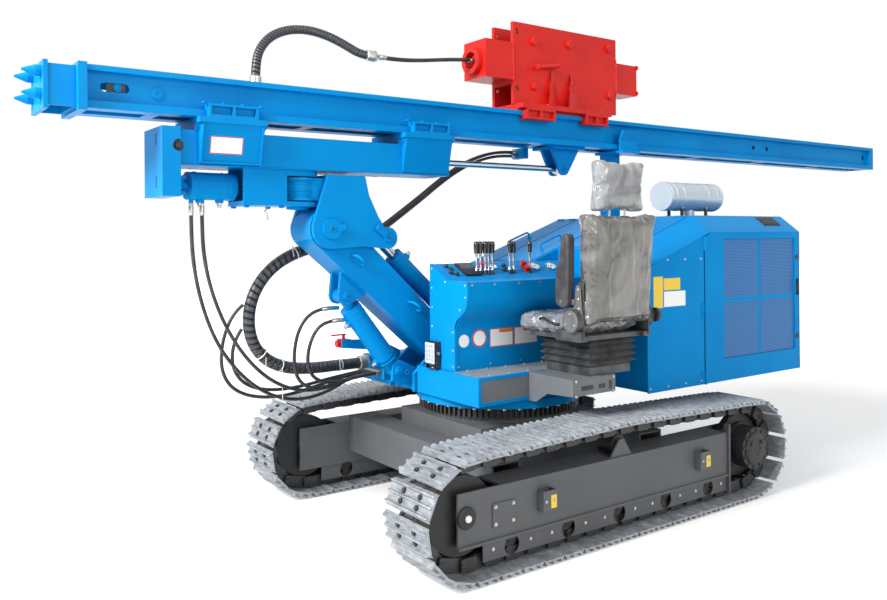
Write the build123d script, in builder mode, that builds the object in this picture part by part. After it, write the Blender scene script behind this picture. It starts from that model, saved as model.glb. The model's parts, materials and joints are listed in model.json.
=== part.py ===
from build123d import *
import os
from math import asin, atan2, ceil, cos, degrees, hypot, pi, radians, sin, tan

# Crawler pile driver. Millimetres, +X towards the mast's foot, +Y the operator's side, +Z up.
# The ground is Z 0, the tracks are centred on Y 0, and the origin is the middle of the overall length.

os.makedirs("parts", exist_ok=True)

# ---- main stations ----
slew_x = 1063.5          # slewing axis
gauge = 1634.0           # between the tracks' middles
running = 5.0            # room round a moving piece
seat_gap = 0.3           # room between faces that only rest on each other
plate = 12.0             # common steel plate

# ---- tracks ----
shoe_width = 350.0
shoe_pitch = 135.0
shoe_plate = 10.0
grouser = 20.0
link_height = 70.0
link_width = 130.0
wrap_radius = 300.0      # grouser tips round the end wheels
idler_x = slew_x + 938.0
sprocket_x = slew_x - 1222.0
carrier_x = slew_x - 120.0
track_peak = 628.0       # grouser tips over the carrier roller
pin_out = grouser + shoe_plate + link_height / 2      # pins' depth below the grouser tips
pin_radius = wrap_radius - pin_out
rail_low = grouser + shoe_plate + link_height         # rail on the ground run
roller_radius = 62.0
roller_first = slew_x + 657.0
roller_step = 375.0
roller_count = 5
carrier_roller_radius = 55.0

# ---- track frames ----
frame_front = slew_x + 985.0
frame_rear = slew_x - 1018.0
frame_half = 90.0
frame_top = 415.0
frame_ledge = 155.0
guard_low = 68.0
drive_radius = 126.0
drive_reach = 143.0      # final drive's cover beyond the track's middle
drive_plate_rear = sprocket_x - 110.0

# ---- cross frame and slewing ring ----
beam_front = slew_x + 640.0
beam_depth = 190.0
beam_low = 232.0
beam_top = 455.0
centre_half = 400.0
centre_top = 545.0
ring_low = 578.0
ring_split = 634.0
ring_radius = 500.0
race_radius = 468.0
ring_bore = 360.0

# ---- deck ----
deck_low = 683.0
deck_top = 841.0
deck_front = slew_x + 525.0
deck_left = 476.0
block_right = -108.0     # far end of the front block, beside the boom's foot
deck_rear = slew_x - 2081.0
deck_right = -740.0
housing_left = 736.0
floor_plate = 30.0
seat_arm_x = slew_x + 170.0

# ---- console ----
console_front = slew_x + 505.0
console_rear = slew_x - 515.0
console_base = 240.0
console_face = 358.0
console_top = 1438.0
console_lip = 1344.0
console_ledge = 172.0    # where the sloping panel meets the ledge
panel_rise = (console_top - console_lip - 4) / console_ledge
lever_row = (255.0, 225.0, 190.0, 165.0, 135.0, 0.0, -30.0, -160.0)
lever_y = 120.0
lever_z = console_top - panel_rise * lever_y
lever_boot = 11.5

# ---- seat ----
seat_x = slew_x - 140.0  # middle of the seat
seat_width = 500.0
bellows_low = 885.0
bellows_top = 1035.0
bellows_x = 360.0
bellows_y0 = 440.0       # far end of the bellows
bellows_y1 = 815.0
pan_top = 1060.0
cushion_top = 1160.0
cushion_far = 335.0      # front edge of the cushion
back_inner = 775.0
back_outer = 890.0
back_low = 1120.0
back_top = 1690.0
headrest_low = 1735.0
headrest_top = 1985.0
headrest_width = 330.0
arm_length = 330.0

# ---- housing ----
housing_low = 676.0
hood_front = slew_x - 250.0
hood_step = slew_x - 518.0
hood_step_y = -8.0
roof_front = slew_x - 1100.0
roof_top = 1720.0
eave_drop = 108.0        # roof's side chamfer, down
eave_in = 140.0          # and across
hood_low = 1416.0        # front edge of the sloping hood
lid_gap = 6.0
lid_top_x = slew_x - 1060.0
lid_lap = 12.0
# hood openings: name, far side, near side, lower edge
hood_lids = [("hood_lid_far", deck_right + 160.0, -400.0, slew_x - 310.0),
             ("hood_lid_middle", -360.0, -40.0, slew_x - 310.0),
             ("hood_lid_near", 32.0, housing_left - 160.0, slew_x - 560.0)]
door_front = slew_x - 1045.0
door_depth = 30.0
sheet = 4.0

# ---- boom ----
boom_y = -260.0
boom_width = 230.0
boom_foot = (slew_x + 190.0, 838.0)
boom_length = 1200.0
boom_angle = 42.2
boom_end_radius = 118.0
boom_foot_radius = 92.0
boom_wall = 12.0
pin_radius_main = 38.0
pin_cap_radius = 58.0
ear = 25.0
head_pin = (boom_foot[0] + boom_length * cos(radians(boom_angle)),
            boom_foot[1] + boom_length * sin(radians(boom_angle)))

# ---- cylinders ----
lift_base = (slew_x + 591.0, 806.0)
lift_eye = (slew_x + 944.0, 1262.0)
lift_barrel_radius = 62.0
lift_barrel_end = 490.0  # from the base pin
lift_bottom = 150.0      # of the bore, from the base pin
neck_depth = 82.0
neck_length = 100.0
tilt_height = 207.0      # cylinder's line above the boom's middle line
tilt_base_at = 74.0      # along the boom from its foot
tilt_eye_at = 894.0
tilt_barrel_radius = 56.0
tilt_barrel_end = 660.0
tilt_bottom = 50.0
eye_radius = 45.0
eye_width = 70.0
rod_radius = 30.0
pin_radius_small = 24.0
swivel_eye = (150.0, -38.0)   # from the swivel axis, along X and Y
swivel_base_x = 665.0         # barrel's pin, from the swivel axis
swivel_z = 1868.0
swivel_barrel_radius = 72.0
swivel_barrel_end = 298.0     # from the barrel's pin
swivel_rod_radius = 26.0
slide_z = 2058.0
slide_barrel_radius = 45.0
slide_rod_radius = 20.0
slide_lug_x = slew_x - 766.0

# ---- head ----
head_top = 1944.0
swivel_x = slew_x + 1215.0
knuckle_radius = 100.0
knuckle_low = 1800.0
knuckle_top = 1925.0
swivel_pin_radius = 45.0
lobe_radius = 62.0
head_round = 112.0

# ---- carrier ----
carrier_rear = slew_x + 262.0
carrier_front = slew_x + 2003.0
carrier_half = 125.0
carrier_low = 1965.0
carrier_top = 2140.0
front_box_depth = 91.0
front_box_low = 1806.0
front_box_half = 150.0
carrier_wall = 14.0
lower_box = (slew_x + 1328.0, slew_x + 1573.0)
lower_box_half = 110.0
lower_plate = (1768.0, 1793.0)
clamp_lip = 30.0
clamp_wall = 40.0
clamp_rise = 28.0        # lip above the flange it holds
slide_room = 0.8         # round the sliding flanges
clamp_base = 30.0
# clamps on the carrier: base from, base to, window box from, window box to
carrier_clamps = [(slew_x + 1471.0, slew_x + 1830.0, slew_x + 1520.0, slew_x + 1782.0),
                  (slew_x + 262.0, slew_x + 620.0, slew_x + 300.0, slew_x + 560.0)]

# ---- mast ----
mast_front = slew_x + 2352.0
mast_rear = slew_x - 4740.0
mast_low = 2207.0
mast_top = 2410.0
mast_half = 150.0
web_half = 112.0
flange_low = 36.0
flange_top = 27.0
tip_x = slew_x + 2613.0
end_plate = 40.0         # plate that closes the mast's front
web_plate = 12.0
slot_z = 2316.0
foot_face = slew_x + 2512.0
spike_radius = 26.0
spike_point = 55.0
strap_step = 850.0
rest_x = slew_x - 1280.0
rest_gap = 8.0

# ---- hoses ----
hose = 20.0              # outer diameter of one hose
bundle = 70.0            # of the wrapped bundle
upper_bundle = 50.0      # of the wrapped pair over the mast
port_length = 40.0
port_reach = 30.0
swivel_ports = (1812.0, 1755.0)
# stubs on the lift barrel: Y, Z, from X, to X
lift_stubs = [(-300.0, 1190.0, 940.0, 1000.0), (-262.0, 1122.0, 900.0, 955.0)]
# ports on the far box: name, Y, Z, radius
deck_ports = [("lift_low", -434.0, 760.0, 12.0), ("lift_high", -462.0, 760.0, 12.0), ("swivel_rear", -490.0, 760.0, 12.0),
              ("swivel_front", -518.0, 760.0, 12.0), ("branch_long", -546.0, 760.0, 12.0),
              ("branch_short", -574.0, 760.0, 12.0), ("bundle", -652.0, 797.0, 37.0)]
bulkhead_x = slew_x - 560.0
bulkhead_y = -464.0
bulkhead_z = 2168.0
loop_x = 1457.0
boss_rise = 12.0         # low enough for the hammer to pass over
collar = 30.0

# ---- hammer ----
hammer_front = slew_x - 270.0
hammer_rear = slew_x - 1231.0
hammer_low = 2457.0
hammer_top = 2993.0
hammer_half = 110.0
breaker_z = 2717.0
ring_z = breaker_z + 8


def slab(x0, x1, y0, y1, z0, z1, mode=Mode.ADD):
    """A block between two corners, in the current part."""
    with Locations(((x0 + x1) / 2, (y0 + y1) / 2, (z0 + z1) / 2)):
        Box(abs(x1 - x0), abs(y1 - y0), abs(z1 - z0), mode=mode)


def side_plane(y=0.0):
    """Sketch plane across Y: sketch x is X, sketch y is Z, and it faces -Y."""
    return Plane.XZ.offset(-y)


def outline(*points, mode=Mode.ADD):
    """A closed straight-sided face in the current sketch."""
    Polygon(*points, align=None, mode=mode)


def rod_y(x, z, radius, y0, y1, mode=Mode.ADD):
    """A round bar along Y."""
    with Locations((x, (y0 + y1) / 2, z)):
        Cylinder(radius, abs(y1 - y0), rotation=(90, 0, 0), mode=mode)


def rod_x(y, z, radius, x0, x1, mode=Mode.ADD):
    """A round bar along X."""
    with Locations(((x0 + x1) / 2, y, z)):
        Cylinder(radius, abs(x1 - x0), rotation=(0, 90, 0), mode=mode)


def rod_z(x, y, radius, z0, z1, mode=Mode.ADD):
    """A round bar along Z."""
    with Locations((x, y, (z0 + z1) / 2)):
        Cylinder(radius, abs(z1 - z0), mode=mode)


def rod_between(start, end, radius, mode=Mode.ADD):
    """A round bar between two points."""
    axis = Vector(*end) - Vector(*start)
    with Locations(Plane(origin=start, z_dir=axis)):
        Cylinder(radius, axis.length, align=(Align.CENTER, Align.CENTER, Align.MIN), mode=mode)


def save(piece, name):
    piece.part.label = name
    export_step(piece.part, f"parts/{name}.step")


# ---------------------------------------------------------------- tracks
def pin_line():
    """The track pins' closed route: arcs round the end wheels, straight over the carrier roller."""
    z = wrap_radius
    peak = track_peak - pin_out
    top = (carrier_x, peak)
    front = (idler_x, z)
    rear = (sprocket_x, z)

    def tangent(centre, side):
        dx = top[0] - centre[0]
        dz = top[1] - centre[1]
        turn = atan2(dz, dx) + side * (pi / 2 - atan2(pin_radius, (dx * dx + dz * dz - pin_radius ** 2) ** 0.5))
        return turn

    lead_front = tangent(front, -1)
    lead_rear = tangent(rear, 1)
    return front, rear, top, lead_front, lead_rear


def pin_points():
    """Evenly spaced pins round the loop, one for each shoe."""
    front, rear, top, lead_front, lead_rear = pin_line()
    path = []
    path.append(("line", (rear[0], rear[1] - pin_radius), (front[0], front[1] - pin_radius)))
    path.append(("arc", front, -pi / 2, lead_front))
    on_front = (front[0] + pin_radius * cos(lead_front), front[1] + pin_radius * sin(lead_front))
    on_rear = (rear[0] + pin_radius * cos(lead_rear), rear[1] + pin_radius * sin(lead_rear))
    path.append(("line", on_front, top))
    path.append(("line", top, on_rear))
    path.append(("arc", rear, lead_rear, 3 * pi / 2))
    lengths = []
    for step in path:
        if step[0] == "line":
            lengths.append(hypot(step[2][0] - step[1][0], step[2][1] - step[1][1]))
        else:
            lengths.append(pin_radius * (step[3] - step[2]))
    total = sum(lengths)
    count = round(total / shoe_pitch)
    points = []
    for i in range(count):
        s = total * i / count
        for step, length in zip(path, lengths):
            if s <= length:
                break
            s -= length
        share = s / length
        if step[0] == "line":
            points.append((step[1][0] + share * (step[2][0] - step[1][0]),
                           step[1][1] + share * (step[2][1] - step[1][1])))
        else:
            angle = step[2] + share * (step[3] - step[2])
            points.append((step[1][0] + pin_radius * cos(angle), step[1][1] + pin_radius * sin(angle)))
    return points


def offset_loop(pins, rows):
    """Points beside each link: rows of (share along the link, distance out from the pins)."""
    loop = []
    for a, b in zip(pins, pins[1:] + pins[:1]):
        length = hypot(b[0] - a[0], b[1] - a[1])
        along = ((b[0] - a[0]) / length, (b[1] - a[1]) / length)
        out = (along[1], -along[0])
        for share, distance in rows:
            loop.append((a[0] + along[0] * share * length + out[0] * distance,
                         a[1] + along[1] * share * length + out[1] * distance))
    return loop


rail_half = link_height / 2
shoe_out = rail_half + shoe_plate
tip_out = shoe_out + grouser
# shoe profile: share along the link, distance out; three grousers
shoe_rows = [(0.02, shoe_out)]
for middle in (0.14, 0.5, 0.86):
    shoe_rows += [(middle - 0.06, shoe_out), (middle, tip_out), (middle + 0.06, shoe_out)]
shoe_rows.append((0.98, shoe_out))

pins = pin_points()
for side, track_y in (("left", gauge / 2), ("right", -gauge / 2)):
    with BuildPart() as track:
        with BuildSketch(side_plane(track_y)):
            outline(*offset_loop(pins, shoe_rows))
            outline(*offset_loop(pins, [(0.0, rail_half)]), mode=Mode.SUBTRACT)
        extrude(amount=shoe_width / 2, both=True)
        with BuildSketch(side_plane(track_y)):
            outline(*offset_loop(pins, [(0.0, rail_half + shoe_plate / 2)]))
            outline(*offset_loop(pins, [(0.0, -rail_half)]), mode=Mode.SUBTRACT)
        extrude(amount=link_width / 2, both=True)
    save(track, f"track_{side}")

# ---------------------------------------------------------------- track frames
cheek_in = frame_half - plate
for side, sign in (("left", 1), ("right", -1)):
    track_y = sign * gauge / 2
    with BuildPart() as frame:
        for face in (1, -1):
            outer = track_y + face * frame_half
            inner = track_y + face * cheek_in
            slab(frame_rear, frame_front, outer, inner, frame_ledge, frame_top)
            slab(frame_rear, frame_front - 150, outer - face * 6, inner, guard_low, frame_ledge)
            for i in range(roller_count):
                rod_y(roller_first - i * roller_step, guard_low + 45, 46, outer, inner, mode=Mode.SUBTRACT)
        slab(frame_rear, frame_front - 262, track_y - cheek_in, track_y + cheek_in, frame_top - plate, frame_top)
        # step brackets on the outer face
        for step_x in (slew_x + 456, slew_x - 753):
            slab(step_x - 45, step_x + 45, track_y + sign * frame_half, track_y + sign * (frame_half + 50), 250, 350)
            slab(step_x - 37, step_x + 37, track_y + sign * (frame_half - 1), track_y + sign * (frame_half + 42), 258, 351,
                 mode=Mode.SUBTRACT)
        slab(frame_rear, frame_front - 360, track_y - cheek_in, track_y + cheek_in, 240, 240 + plate)
        slab(frame_rear, frame_rear + plate, track_y - cheek_in, track_y + cheek_in, 240, frame_top)
        # end plate on the outer side, drive plate on the inner side
        slab(frame_rear - 16, frame_rear, track_y + sign * 68, track_y + sign * 104, guard_low - 12, frame_top + 48)
        slab(drive_plate_rear, frame_rear, track_y - sign * frame_half, track_y - sign * cheek_in, 160, frame_top)
        # ledge along the outer face
        slab(frame_rear, frame_front, track_y + sign * frame_half, track_y + sign * (frame_half + 10),
             frame_ledge, frame_ledge + 14)
        # bracket of the carrier roller
        with BuildSketch(side_plane(track_y + sign * cheek_in)):
            outline((carrier_x - 75, frame_top), (carrier_x + 85, frame_top), (carrier_x + 18, 505), (carrier_x - 18, 505))
        extrude(amount=sign * plate)
    save(frame, f"track_frame_{side}")

with BuildPart() as bottom_rollers:
    for sign in (1, -1):
        for i in range(roller_count):
            x = roller_first - i * roller_step
            z = rail_low + roller_radius + seat_gap
            track_y = sign * gauge / 2
            rod_y(x, z, roller_radius, track_y - 66, track_y + 66)
            rod_y(x, z, 30, track_y - cheek_in, track_y + cheek_in)
save(bottom_rollers, "bottom_rollers")

carrier_rail = track_peak - pin_out - rail_half
with BuildPart() as carrier_rollers:
    for sign in (1, -1):
        track_y = sign * gauge / 2
        rod_y(carrier_x, carrier_rail - 3 - carrier_roller_radius, carrier_roller_radius, track_y - 55, track_y + 55)
        rod_y(carrier_x, carrier_rail - 3 - carrier_roller_radius, 20, track_y, track_y + sign * (cheek_in - plate))
save(carrier_rollers, "carrier_rollers")

link_half_angle = asin(shoe_pitch / 2 / pin_radius)
wheel_radius = pin_radius * cos(link_half_angle) - rail_half - 1.5
with BuildPart() as idlers:
    for sign in (1, -1):
        track_y = sign * gauge / 2
        rod_y(idler_x, wrap_radius, wheel_radius, track_y - 50, track_y + 50)
        rod_y(idler_x, wrap_radius, 45, track_y - cheek_in, track_y + cheek_in)
save(idlers, "idlers")

with BuildPart() as sprockets:
    for sign in (1, -1):
        track_y = sign * gauge / 2
        rod_y(sprocket_x, wrap_radius, wheel_radius, track_y - 22, track_y + 22)
        rod_y(sprocket_x, wrap_radius, drive_radius + 14, track_y + sign * 22, track_y + sign * 40)
        rod_y(sprocket_x, wrap_radius, drive_radius, track_y - sign * cheek_in, track_y + sign * drive_reach)
save(sprockets, "sprockets_and_drives")

# ---------------------------------------------------------------- cross frame
frame_in = gauge / 2 - frame_half
with BuildPart() as cross_frame:
    for sign in (1, -1):
        x_out = slew_x + sign * (beam_front - slew_x)
        x_in = x_out - sign * beam_depth
        slab(x_in, x_out, -frame_in, frame_in, beam_low, beam_top)
        slab(x_in + sign * plate, x_out - sign * plate, -frame_in, frame_in, beam_low + plate, beam_top - plate,
             mode=Mode.SUBTRACT)
    half_x = beam_front - slew_x - beam_depth
    slab(slew_x - half_x, slew_x + half_x, -centre_half, centre_half, beam_low + 60, centre_top)
    slab(slew_x - half_x + plate, slew_x + half_x - plate, -centre_half + plate, centre_half - plate,
         beam_low + 60 - 1, centre_top - plate, mode=Mode.SUBTRACT)
    rod_z(slew_x, 0, race_radius - 30, centre_top, ring_low)
    rod_z(slew_x, 0, ring_bore, centre_top - plate - 1, ring_low, mode=Mode.SUBTRACT)
save(cross_frame, "cross_frame")

with BuildPart() as slew_ring:
    rod_z(slew_x, 0, race_radius, ring_low, ring_split)
    rod_z(slew_x, 0, ring_bore, ring_low, ring_split, mode=Mode.SUBTRACT)
save(slew_ring, "slew_ring")

# ---------------------------------------------------------------- deck and boom foot
foot_in = boom_width / 2 + running
foot_out = foot_in + ear
with BuildPart() as deck:
    # floor with the upper race of the ring
    floor_far = deck_right + sheet + seat_gap
    floor_rear = deck_rear + sheet + seat_gap
    slab(floor_rear, slew_x + 330, floor_far, deck_left, deck_low, deck_low + floor_plate)
    slab(floor_rear, hood_step, deck_left, housing_left - door_depth - running, deck_low, deck_low + floor_plate)
    slab(door_front + lid_gap, hood_step, deck_left, housing_left - sheet - seat_gap, deck_low, deck_low + floor_plate)
    rod_z(slew_x, 0, ring_radius, ring_split + seat_gap, deck_low)
    rod_z(slew_x, 0, ring_bore, ring_split + seat_gap, deck_low + floor_plate, mode=Mode.SUBTRACT)
    # hollow front block under the walkway
    slab(console_rear, deck_front, block_right, deck_left, deck_low, deck_top)
    slab(console_rear + plate, deck_front - plate, block_right + plate, deck_left - plate,
         deck_low + floor_plate, deck_top - plate, mode=Mode.SUBTRACT)
    # box on the far side of the boom
    far_box = boom_y - foot_out - 10
    slab(slew_x - 200, deck_front, deck_right, far_box, deck_low, deck_top)
    slab(slew_x - 200 + plate, deck_front - plate, deck_right + plate, far_box - plate,
         deck_low + floor_plate, deck_top - plate, mode=Mode.SUBTRACT)
    # hose ports on the far box's front
    for name, port_y, port_z, port_radius in deck_ports:
        rod_x(port_y, port_z, port_radius, deck_front - 2, deck_front + port_length)
save(deck, "deck")

with BuildPart() as boom_bracket:
    base_top = deck_low + floor_plate + seat_gap
    for sign in (1, -1):
        y0 = boom_y + sign * foot_in
        with BuildSketch(side_plane(y0)):
            with BuildLine():
                Polyline((deck_front + 14, deck_low), (deck_front + 14, 790), (slew_x + 412, 903),
                         (boom_foot[0] + 90, boom_foot[1] + 115))
                ThreePointArc((boom_foot[0] + 90, boom_foot[1] + 115), (boom_foot[0], boom_foot[1] + 146),
                              (boom_foot[0] - 90, boom_foot[1] + 115))
                Polyline((boom_foot[0] - 90, boom_foot[1] + 115), (slew_x - 120, base_top),
                         (slew_x + 330 + seat_gap, base_top), (slew_x + 330 + seat_gap, deck_low),
                         (deck_front + 14, deck_low))
            make_face()
        extrude(amount=-sign * ear)
    slab(slew_x + 330 + seat_gap, deck_front - 20, boom_y - foot_in, boom_y + foot_in, deck_low, deck_low + 30)
    slab(slew_x + 420, slew_x + 445, boom_y - foot_in, boom_y + foot_in, deck_low, 800)
    for sign in (1, -1):
        with BuildSketch(side_plane(boom_y + sign * (eye_width / 2 + 2))):
            with BuildLine():
                Polyline((slew_x + 445, deck_low), (slew_x + 640, 745), (lift_base[0] + 40, lift_base[1] + 40))
                ThreePointArc((lift_base[0] + 40, lift_base[1] + 40), (lift_base[0] + 8, lift_base[1] + 57),
                              (lift_base[0] - 25, lift_base[1] + 52))
                Polyline((lift_base[0] - 25, lift_base[1] + 52), (slew_x + 445, 800), (slew_x + 445, deck_low))
            make_face()
        extrude(amount=-sign * ear)
    rod_y(lift_base[0], lift_base[1], 24, boom_y - eye_width / 2 - ear - 12, boom_y + eye_width / 2 + ear + 12)
    rod_y(boom_foot[0], boom_foot[1], pin_radius_main, boom_y - foot_out - 6, boom_y + foot_out + 6)
save(boom_bracket, "boom_bracket")


# ---------------------------------------------------------------- seat arm and seat
with BuildPart() as seat_arm:
    arm_rear = slew_x - 150
    slab(arm_rear, seat_arm_x, deck_left + seat_gap, bellows_y1 + 10, deck_top - plate, deck_top)
    with BuildSketch(Plane.YZ.offset(seat_arm_x - plate)):
        outline((deck_left + seat_gap, deck_low), (deck_left + seat_gap, deck_top - plate),
                (bellows_y1 + 10, deck_top - plate), (bellows_y1 + 10, deck_top - 90), (deck_left + 150, deck_top - 100),
                (deck_left + 60, deck_low))
    extrude(amount=plate)
    slab(arm_rear, seat_arm_x - plate, bellows_y1 + 10 - plate, bellows_y1 + 10, deck_top - 90, deck_top - plate)
    slab(arm_rear, arm_rear + plate, deck_left + seat_gap, bellows_y1 + 10, deck_top - 90, deck_top - plate)
save(seat_arm, "seat_arm")

seat_middle_y = (bellows_y0 + bellows_y1) / 2
with BuildPart() as seat_base:
    slab(seat_x - bellows_x / 2 + 20, seat_x + bellows_x / 2 - 20, bellows_y0 + 20, bellows_y1 - 20,
         deck_top + seat_gap, bellows_low)
    fold_count = 4
    fold = (bellows_top - bellows_low) / fold_count
    for i in range(fold_count):
        z = bellows_low + i * fold
        for z0, z1, grow0, grow1 in ((z, z + fold / 2, 0, 26), (z + fold / 2, z + fold, 26, 0)):
            with BuildSketch(Plane.XY.offset(z0)):
                with Locations((seat_x, seat_middle_y)):
                    Rectangle(bellows_x - 40 + 2 * grow0, bellows_y1 - bellows_y0 - 40 + 2 * grow0)
            with BuildSketch(Plane.XY.offset(z1)):
                with Locations((seat_x, seat_middle_y)):
                    Rectangle(bellows_x - 40 + 2 * grow1, bellows_y1 - bellows_y0 - 40 + 2 * grow1)
            loft()
    slab(seat_x - seat_width / 2 + 30, seat_x + seat_width / 2 - 30, cushion_far + 60, back_inner + 40,
         bellows_top, pan_top)
    for sign in (1, -1):
        face_x = seat_x + sign * (seat_width / 2 + 4)
        slab(seat_x + sign * (seat_width / 2 - 30), face_x, back_inner - 120, back_inner + 70, bellows_top, pan_top)
        slab(face_x, face_x + sign * 16, back_inner - 120, back_inner + 70, bellows_top, pan_top + 30)
        rod_x(back_inner + 20, pan_top + 85, 62, face_x, face_x + sign * 42)
        slab(seat_x + sign * (seat_width / 2 + seat_gap), face_x, back_inner + 38, back_inner + 78,
             pan_top - 10, pan_top + 290)
save(seat_base, "seat_base")

with BuildPart() as seat_cushion:
    slab(seat_x - seat_width / 2, seat_x + seat_width / 2, cushion_far, back_inner - 8, pan_top + seat_gap, cushion_top)
    fillet(seat_cushion.edges().filter_by(Axis.X).group_by(Axis.Y)[0], 35)
save(seat_cushion, "seat_cushion")

with BuildPart() as seat_back:
    slab(seat_x - seat_width / 2, seat_x + seat_width / 2, back_inner, back_outer, back_low, back_top)
    fillet(seat_back.edges().filter_by(Axis.X).group_by(Axis.Z)[-1], 40)
save(seat_back, "seat_back")

with BuildPart() as headrest:
    slab(seat_x - headrest_width / 2, seat_x + headrest_width / 2, back_inner - 10, back_outer - 20,
         headrest_low, headrest_top)
    fillet(headrest.edges().filter_by(Axis.Y), 45)
    for sign in (1, -1):
        rod_z(seat_x + sign * 60, (back_inner + back_outer) / 2 - 10, 8, back_top + seat_gap, headrest_low)
save(headrest, "headrest")

with BuildPart() as armrests:
    for sign in (1, -1):
        x = seat_x + sign * (seat_width / 2 + 30)
        with BuildSketch(Plane.YZ.offset(x)):
            with Locations((back_inner - 30, pan_top + 350)):
                Rectangle(80, arm_length + 60)
        extrude(amount=25, both=True)
        slab(x - sign * 25, seat_x + sign * (seat_width / 2 + seat_gap), back_inner + 4, back_inner + 34,
             pan_top + 150, pan_top + 190)
        slab(x - 25, x + 25, back_inner - 10, back_inner + 34, pan_top + 150, pan_top + 190)
save(armrests, "armrests")

# ---------------------------------------------------------------- console
# end profile: the face leans out above the knees and the top slopes to the back
with BuildPart() as console:
    for x0, x1, cut in ((console_rear, console_front, 0.0), (console_rear + 8, console_front - 8, 8.0)):
        with BuildSketch(Plane.YZ.offset(x0)):
            with BuildLine():
                low = deck_top + seat_gap if cut == 0.0 else deck_top - 1
                Polyline((cut, low), (console_base - cut, low), (console_base - cut, 1075))
                Bezier((console_base - cut, 1075), (console_base - cut, 1165), (console_face - cut, 1150),
                       (console_face - cut, 1250))
                Polyline((console_face - cut, 1250), (console_face - cut, console_lip - cut), (console_ledge, console_lip + 4 - cut),
                         (cut, console_top - 1.3 * cut), (cut, low))
            make_face()
        extrude(amount=x1 - x0, mode=Mode.ADD if cut == 0.0 else Mode.SUBTRACT)
    for x in lever_row:
        rod_z(slew_x + x, lever_y, lever_boot + seat_gap, lever_z - 30, lever_z + 30, mode=Mode.SUBTRACT)
save(console, "console")

with BuildPart() as levers:
    for x in lever_row:
        rod_z(slew_x + x, lever_y, lever_boot, lever_z - 14, lever_z + 14)
        rod_z(slew_x + x, lever_y, 5, lever_z, lever_z + 165)
        rod_z(slew_x + x, lever_y, 11, lever_z + 120, lever_z + 180)
save(levers, "levers")

with BuildPart() as worklight:
    slab(console_front + seat_gap, console_front + 45, 12, 108, 868, 998)
save(worklight, "worklight")

# ---------------------------------------------------------------- engine housing
hood_rise = (roof_top - hood_low) / (hood_front - roof_front)
eave = roof_top - eave_drop
door_top = eave - 4.0


def hood_z(x):
    """Height of the sloping hood's outer face at a station."""
    return roof_top - max(0.0, x - roof_front) * hood_rise


side_floor = deck_low + floor_plate
with BuildPart() as side_panel_left:
    with BuildSketch(side_plane(housing_left)):
        panel_rear = door_front + lid_gap
        outline((hood_step, housing_low), (hood_step, hood_z(hood_step) - eave_drop - sheet),
                (panel_rear, hood_z(panel_rear) - eave_drop - sheet), (panel_rear, housing_low))
    extrude(amount=sheet)
save(side_panel_left, "side_panel_left")

with BuildPart() as side_panel_right:
    with BuildSketch(side_plane(deck_right)):
        outline((hood_front, housing_low), (hood_front, hood_low - eave_drop - sheet), (roof_front, eave - sheet),
                (deck_rear, eave - sheet), (deck_rear, housing_low))
    extrude(amount=-sheet)
save(side_panel_right, "side_panel_right")

with BuildPart() as grille_door:
    slab(deck_rear + sheet + lid_gap, door_front - lid_gap, housing_left - door_depth, housing_left, housing_low, door_top)
    slab(deck_rear + 60, door_front - 50, housing_left - door_depth - 1, housing_left - sheet, housing_low + 30,
         door_top - 30, mode=Mode.SUBTRACT)
    with BuildSketch(side_plane(housing_left + 1)):
        outline((roof_front - 12, door_top + 1), (door_front, door_top + 1), (door_front, hood_z(door_front) - eave_drop - 12))
    extrude(amount=door_depth + 2, mode=Mode.SUBTRACT)
    slab(slew_x - 2024, slew_x - 1239, housing_left - 5, housing_left + 1, 815, 1568, mode=Mode.SUBTRACT)
    slab(slew_x - 2030, slew_x - 1233, housing_left - 12, housing_left - 9, 809, 1574)
    slab(slew_x - 2030, slew_x - 1233, housing_left - 12, housing_left - sheet, 803, 815)
    slab(slew_x - 2030, slew_x - 1233, housing_left - 12, housing_left - sheet, 1568, 1580)
save(grille_door, "grille_door")

with BuildPart() as rear_panel:
    with BuildSketch(Plane.YZ.offset(deck_rear)):
        outline((deck_right + sheet, housing_low), (housing_left, housing_low), (housing_left, eave - sheet),
                (housing_left - eave_in, roof_top - sheet), (deck_right + eave_in, roof_top - sheet),
                (deck_right + sheet, eave - sheet))
    extrude(amount=sheet)
save(rear_panel, "rear_panel")

with BuildPart() as roof:
    band = ((housing_left, eave), (housing_left - eave_in, roof_top), (deck_right + eave_in, roof_top),
            (deck_right, eave), (deck_right, eave - sheet), (deck_right + eave_in, roof_top - sheet),
            (housing_left - eave_in, roof_top - sheet), (housing_left, eave - sheet))
    with BuildSketch(Plane.YZ.offset(roof_front)):
        outline(*band)
    extrude(amount=roof_front - deck_rear, dir=(-1, 0, 0))
    slope_way = Vector(1, 0, -hood_rise).normalized()
    near_run = (hood_step - roof_front) / slope_way.X
    far_run = (hood_front - roof_front) / slope_way.X
    with BuildSketch(Plane.YZ.offset(roof_front)):
        outline(*band)
    extrude(amount=near_run, dir=slope_way)
    with BuildSketch(Plane.YZ.offset(roof_front)):
        outline((hood_step_y, roof_top), (deck_right + eave_in, roof_top), (deck_right, eave), (deck_right, eave - sheet),
                (deck_right + eave_in, roof_top - sheet), (hood_step_y, roof_top - sheet))
    extrude(amount=far_run, dir=slope_way)
    # openings of the three lids
    for name, y0, y1, low_x in hood_lids:
        with BuildSketch(Plane.XY.offset(roof_top + 50)):
            outline((lid_top_x, y0), (low_x, y0), (low_x, y1), (lid_top_x, y1))
        extrude(amount=-500, mode=Mode.SUBTRACT)
save(roof, "roof")

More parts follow.
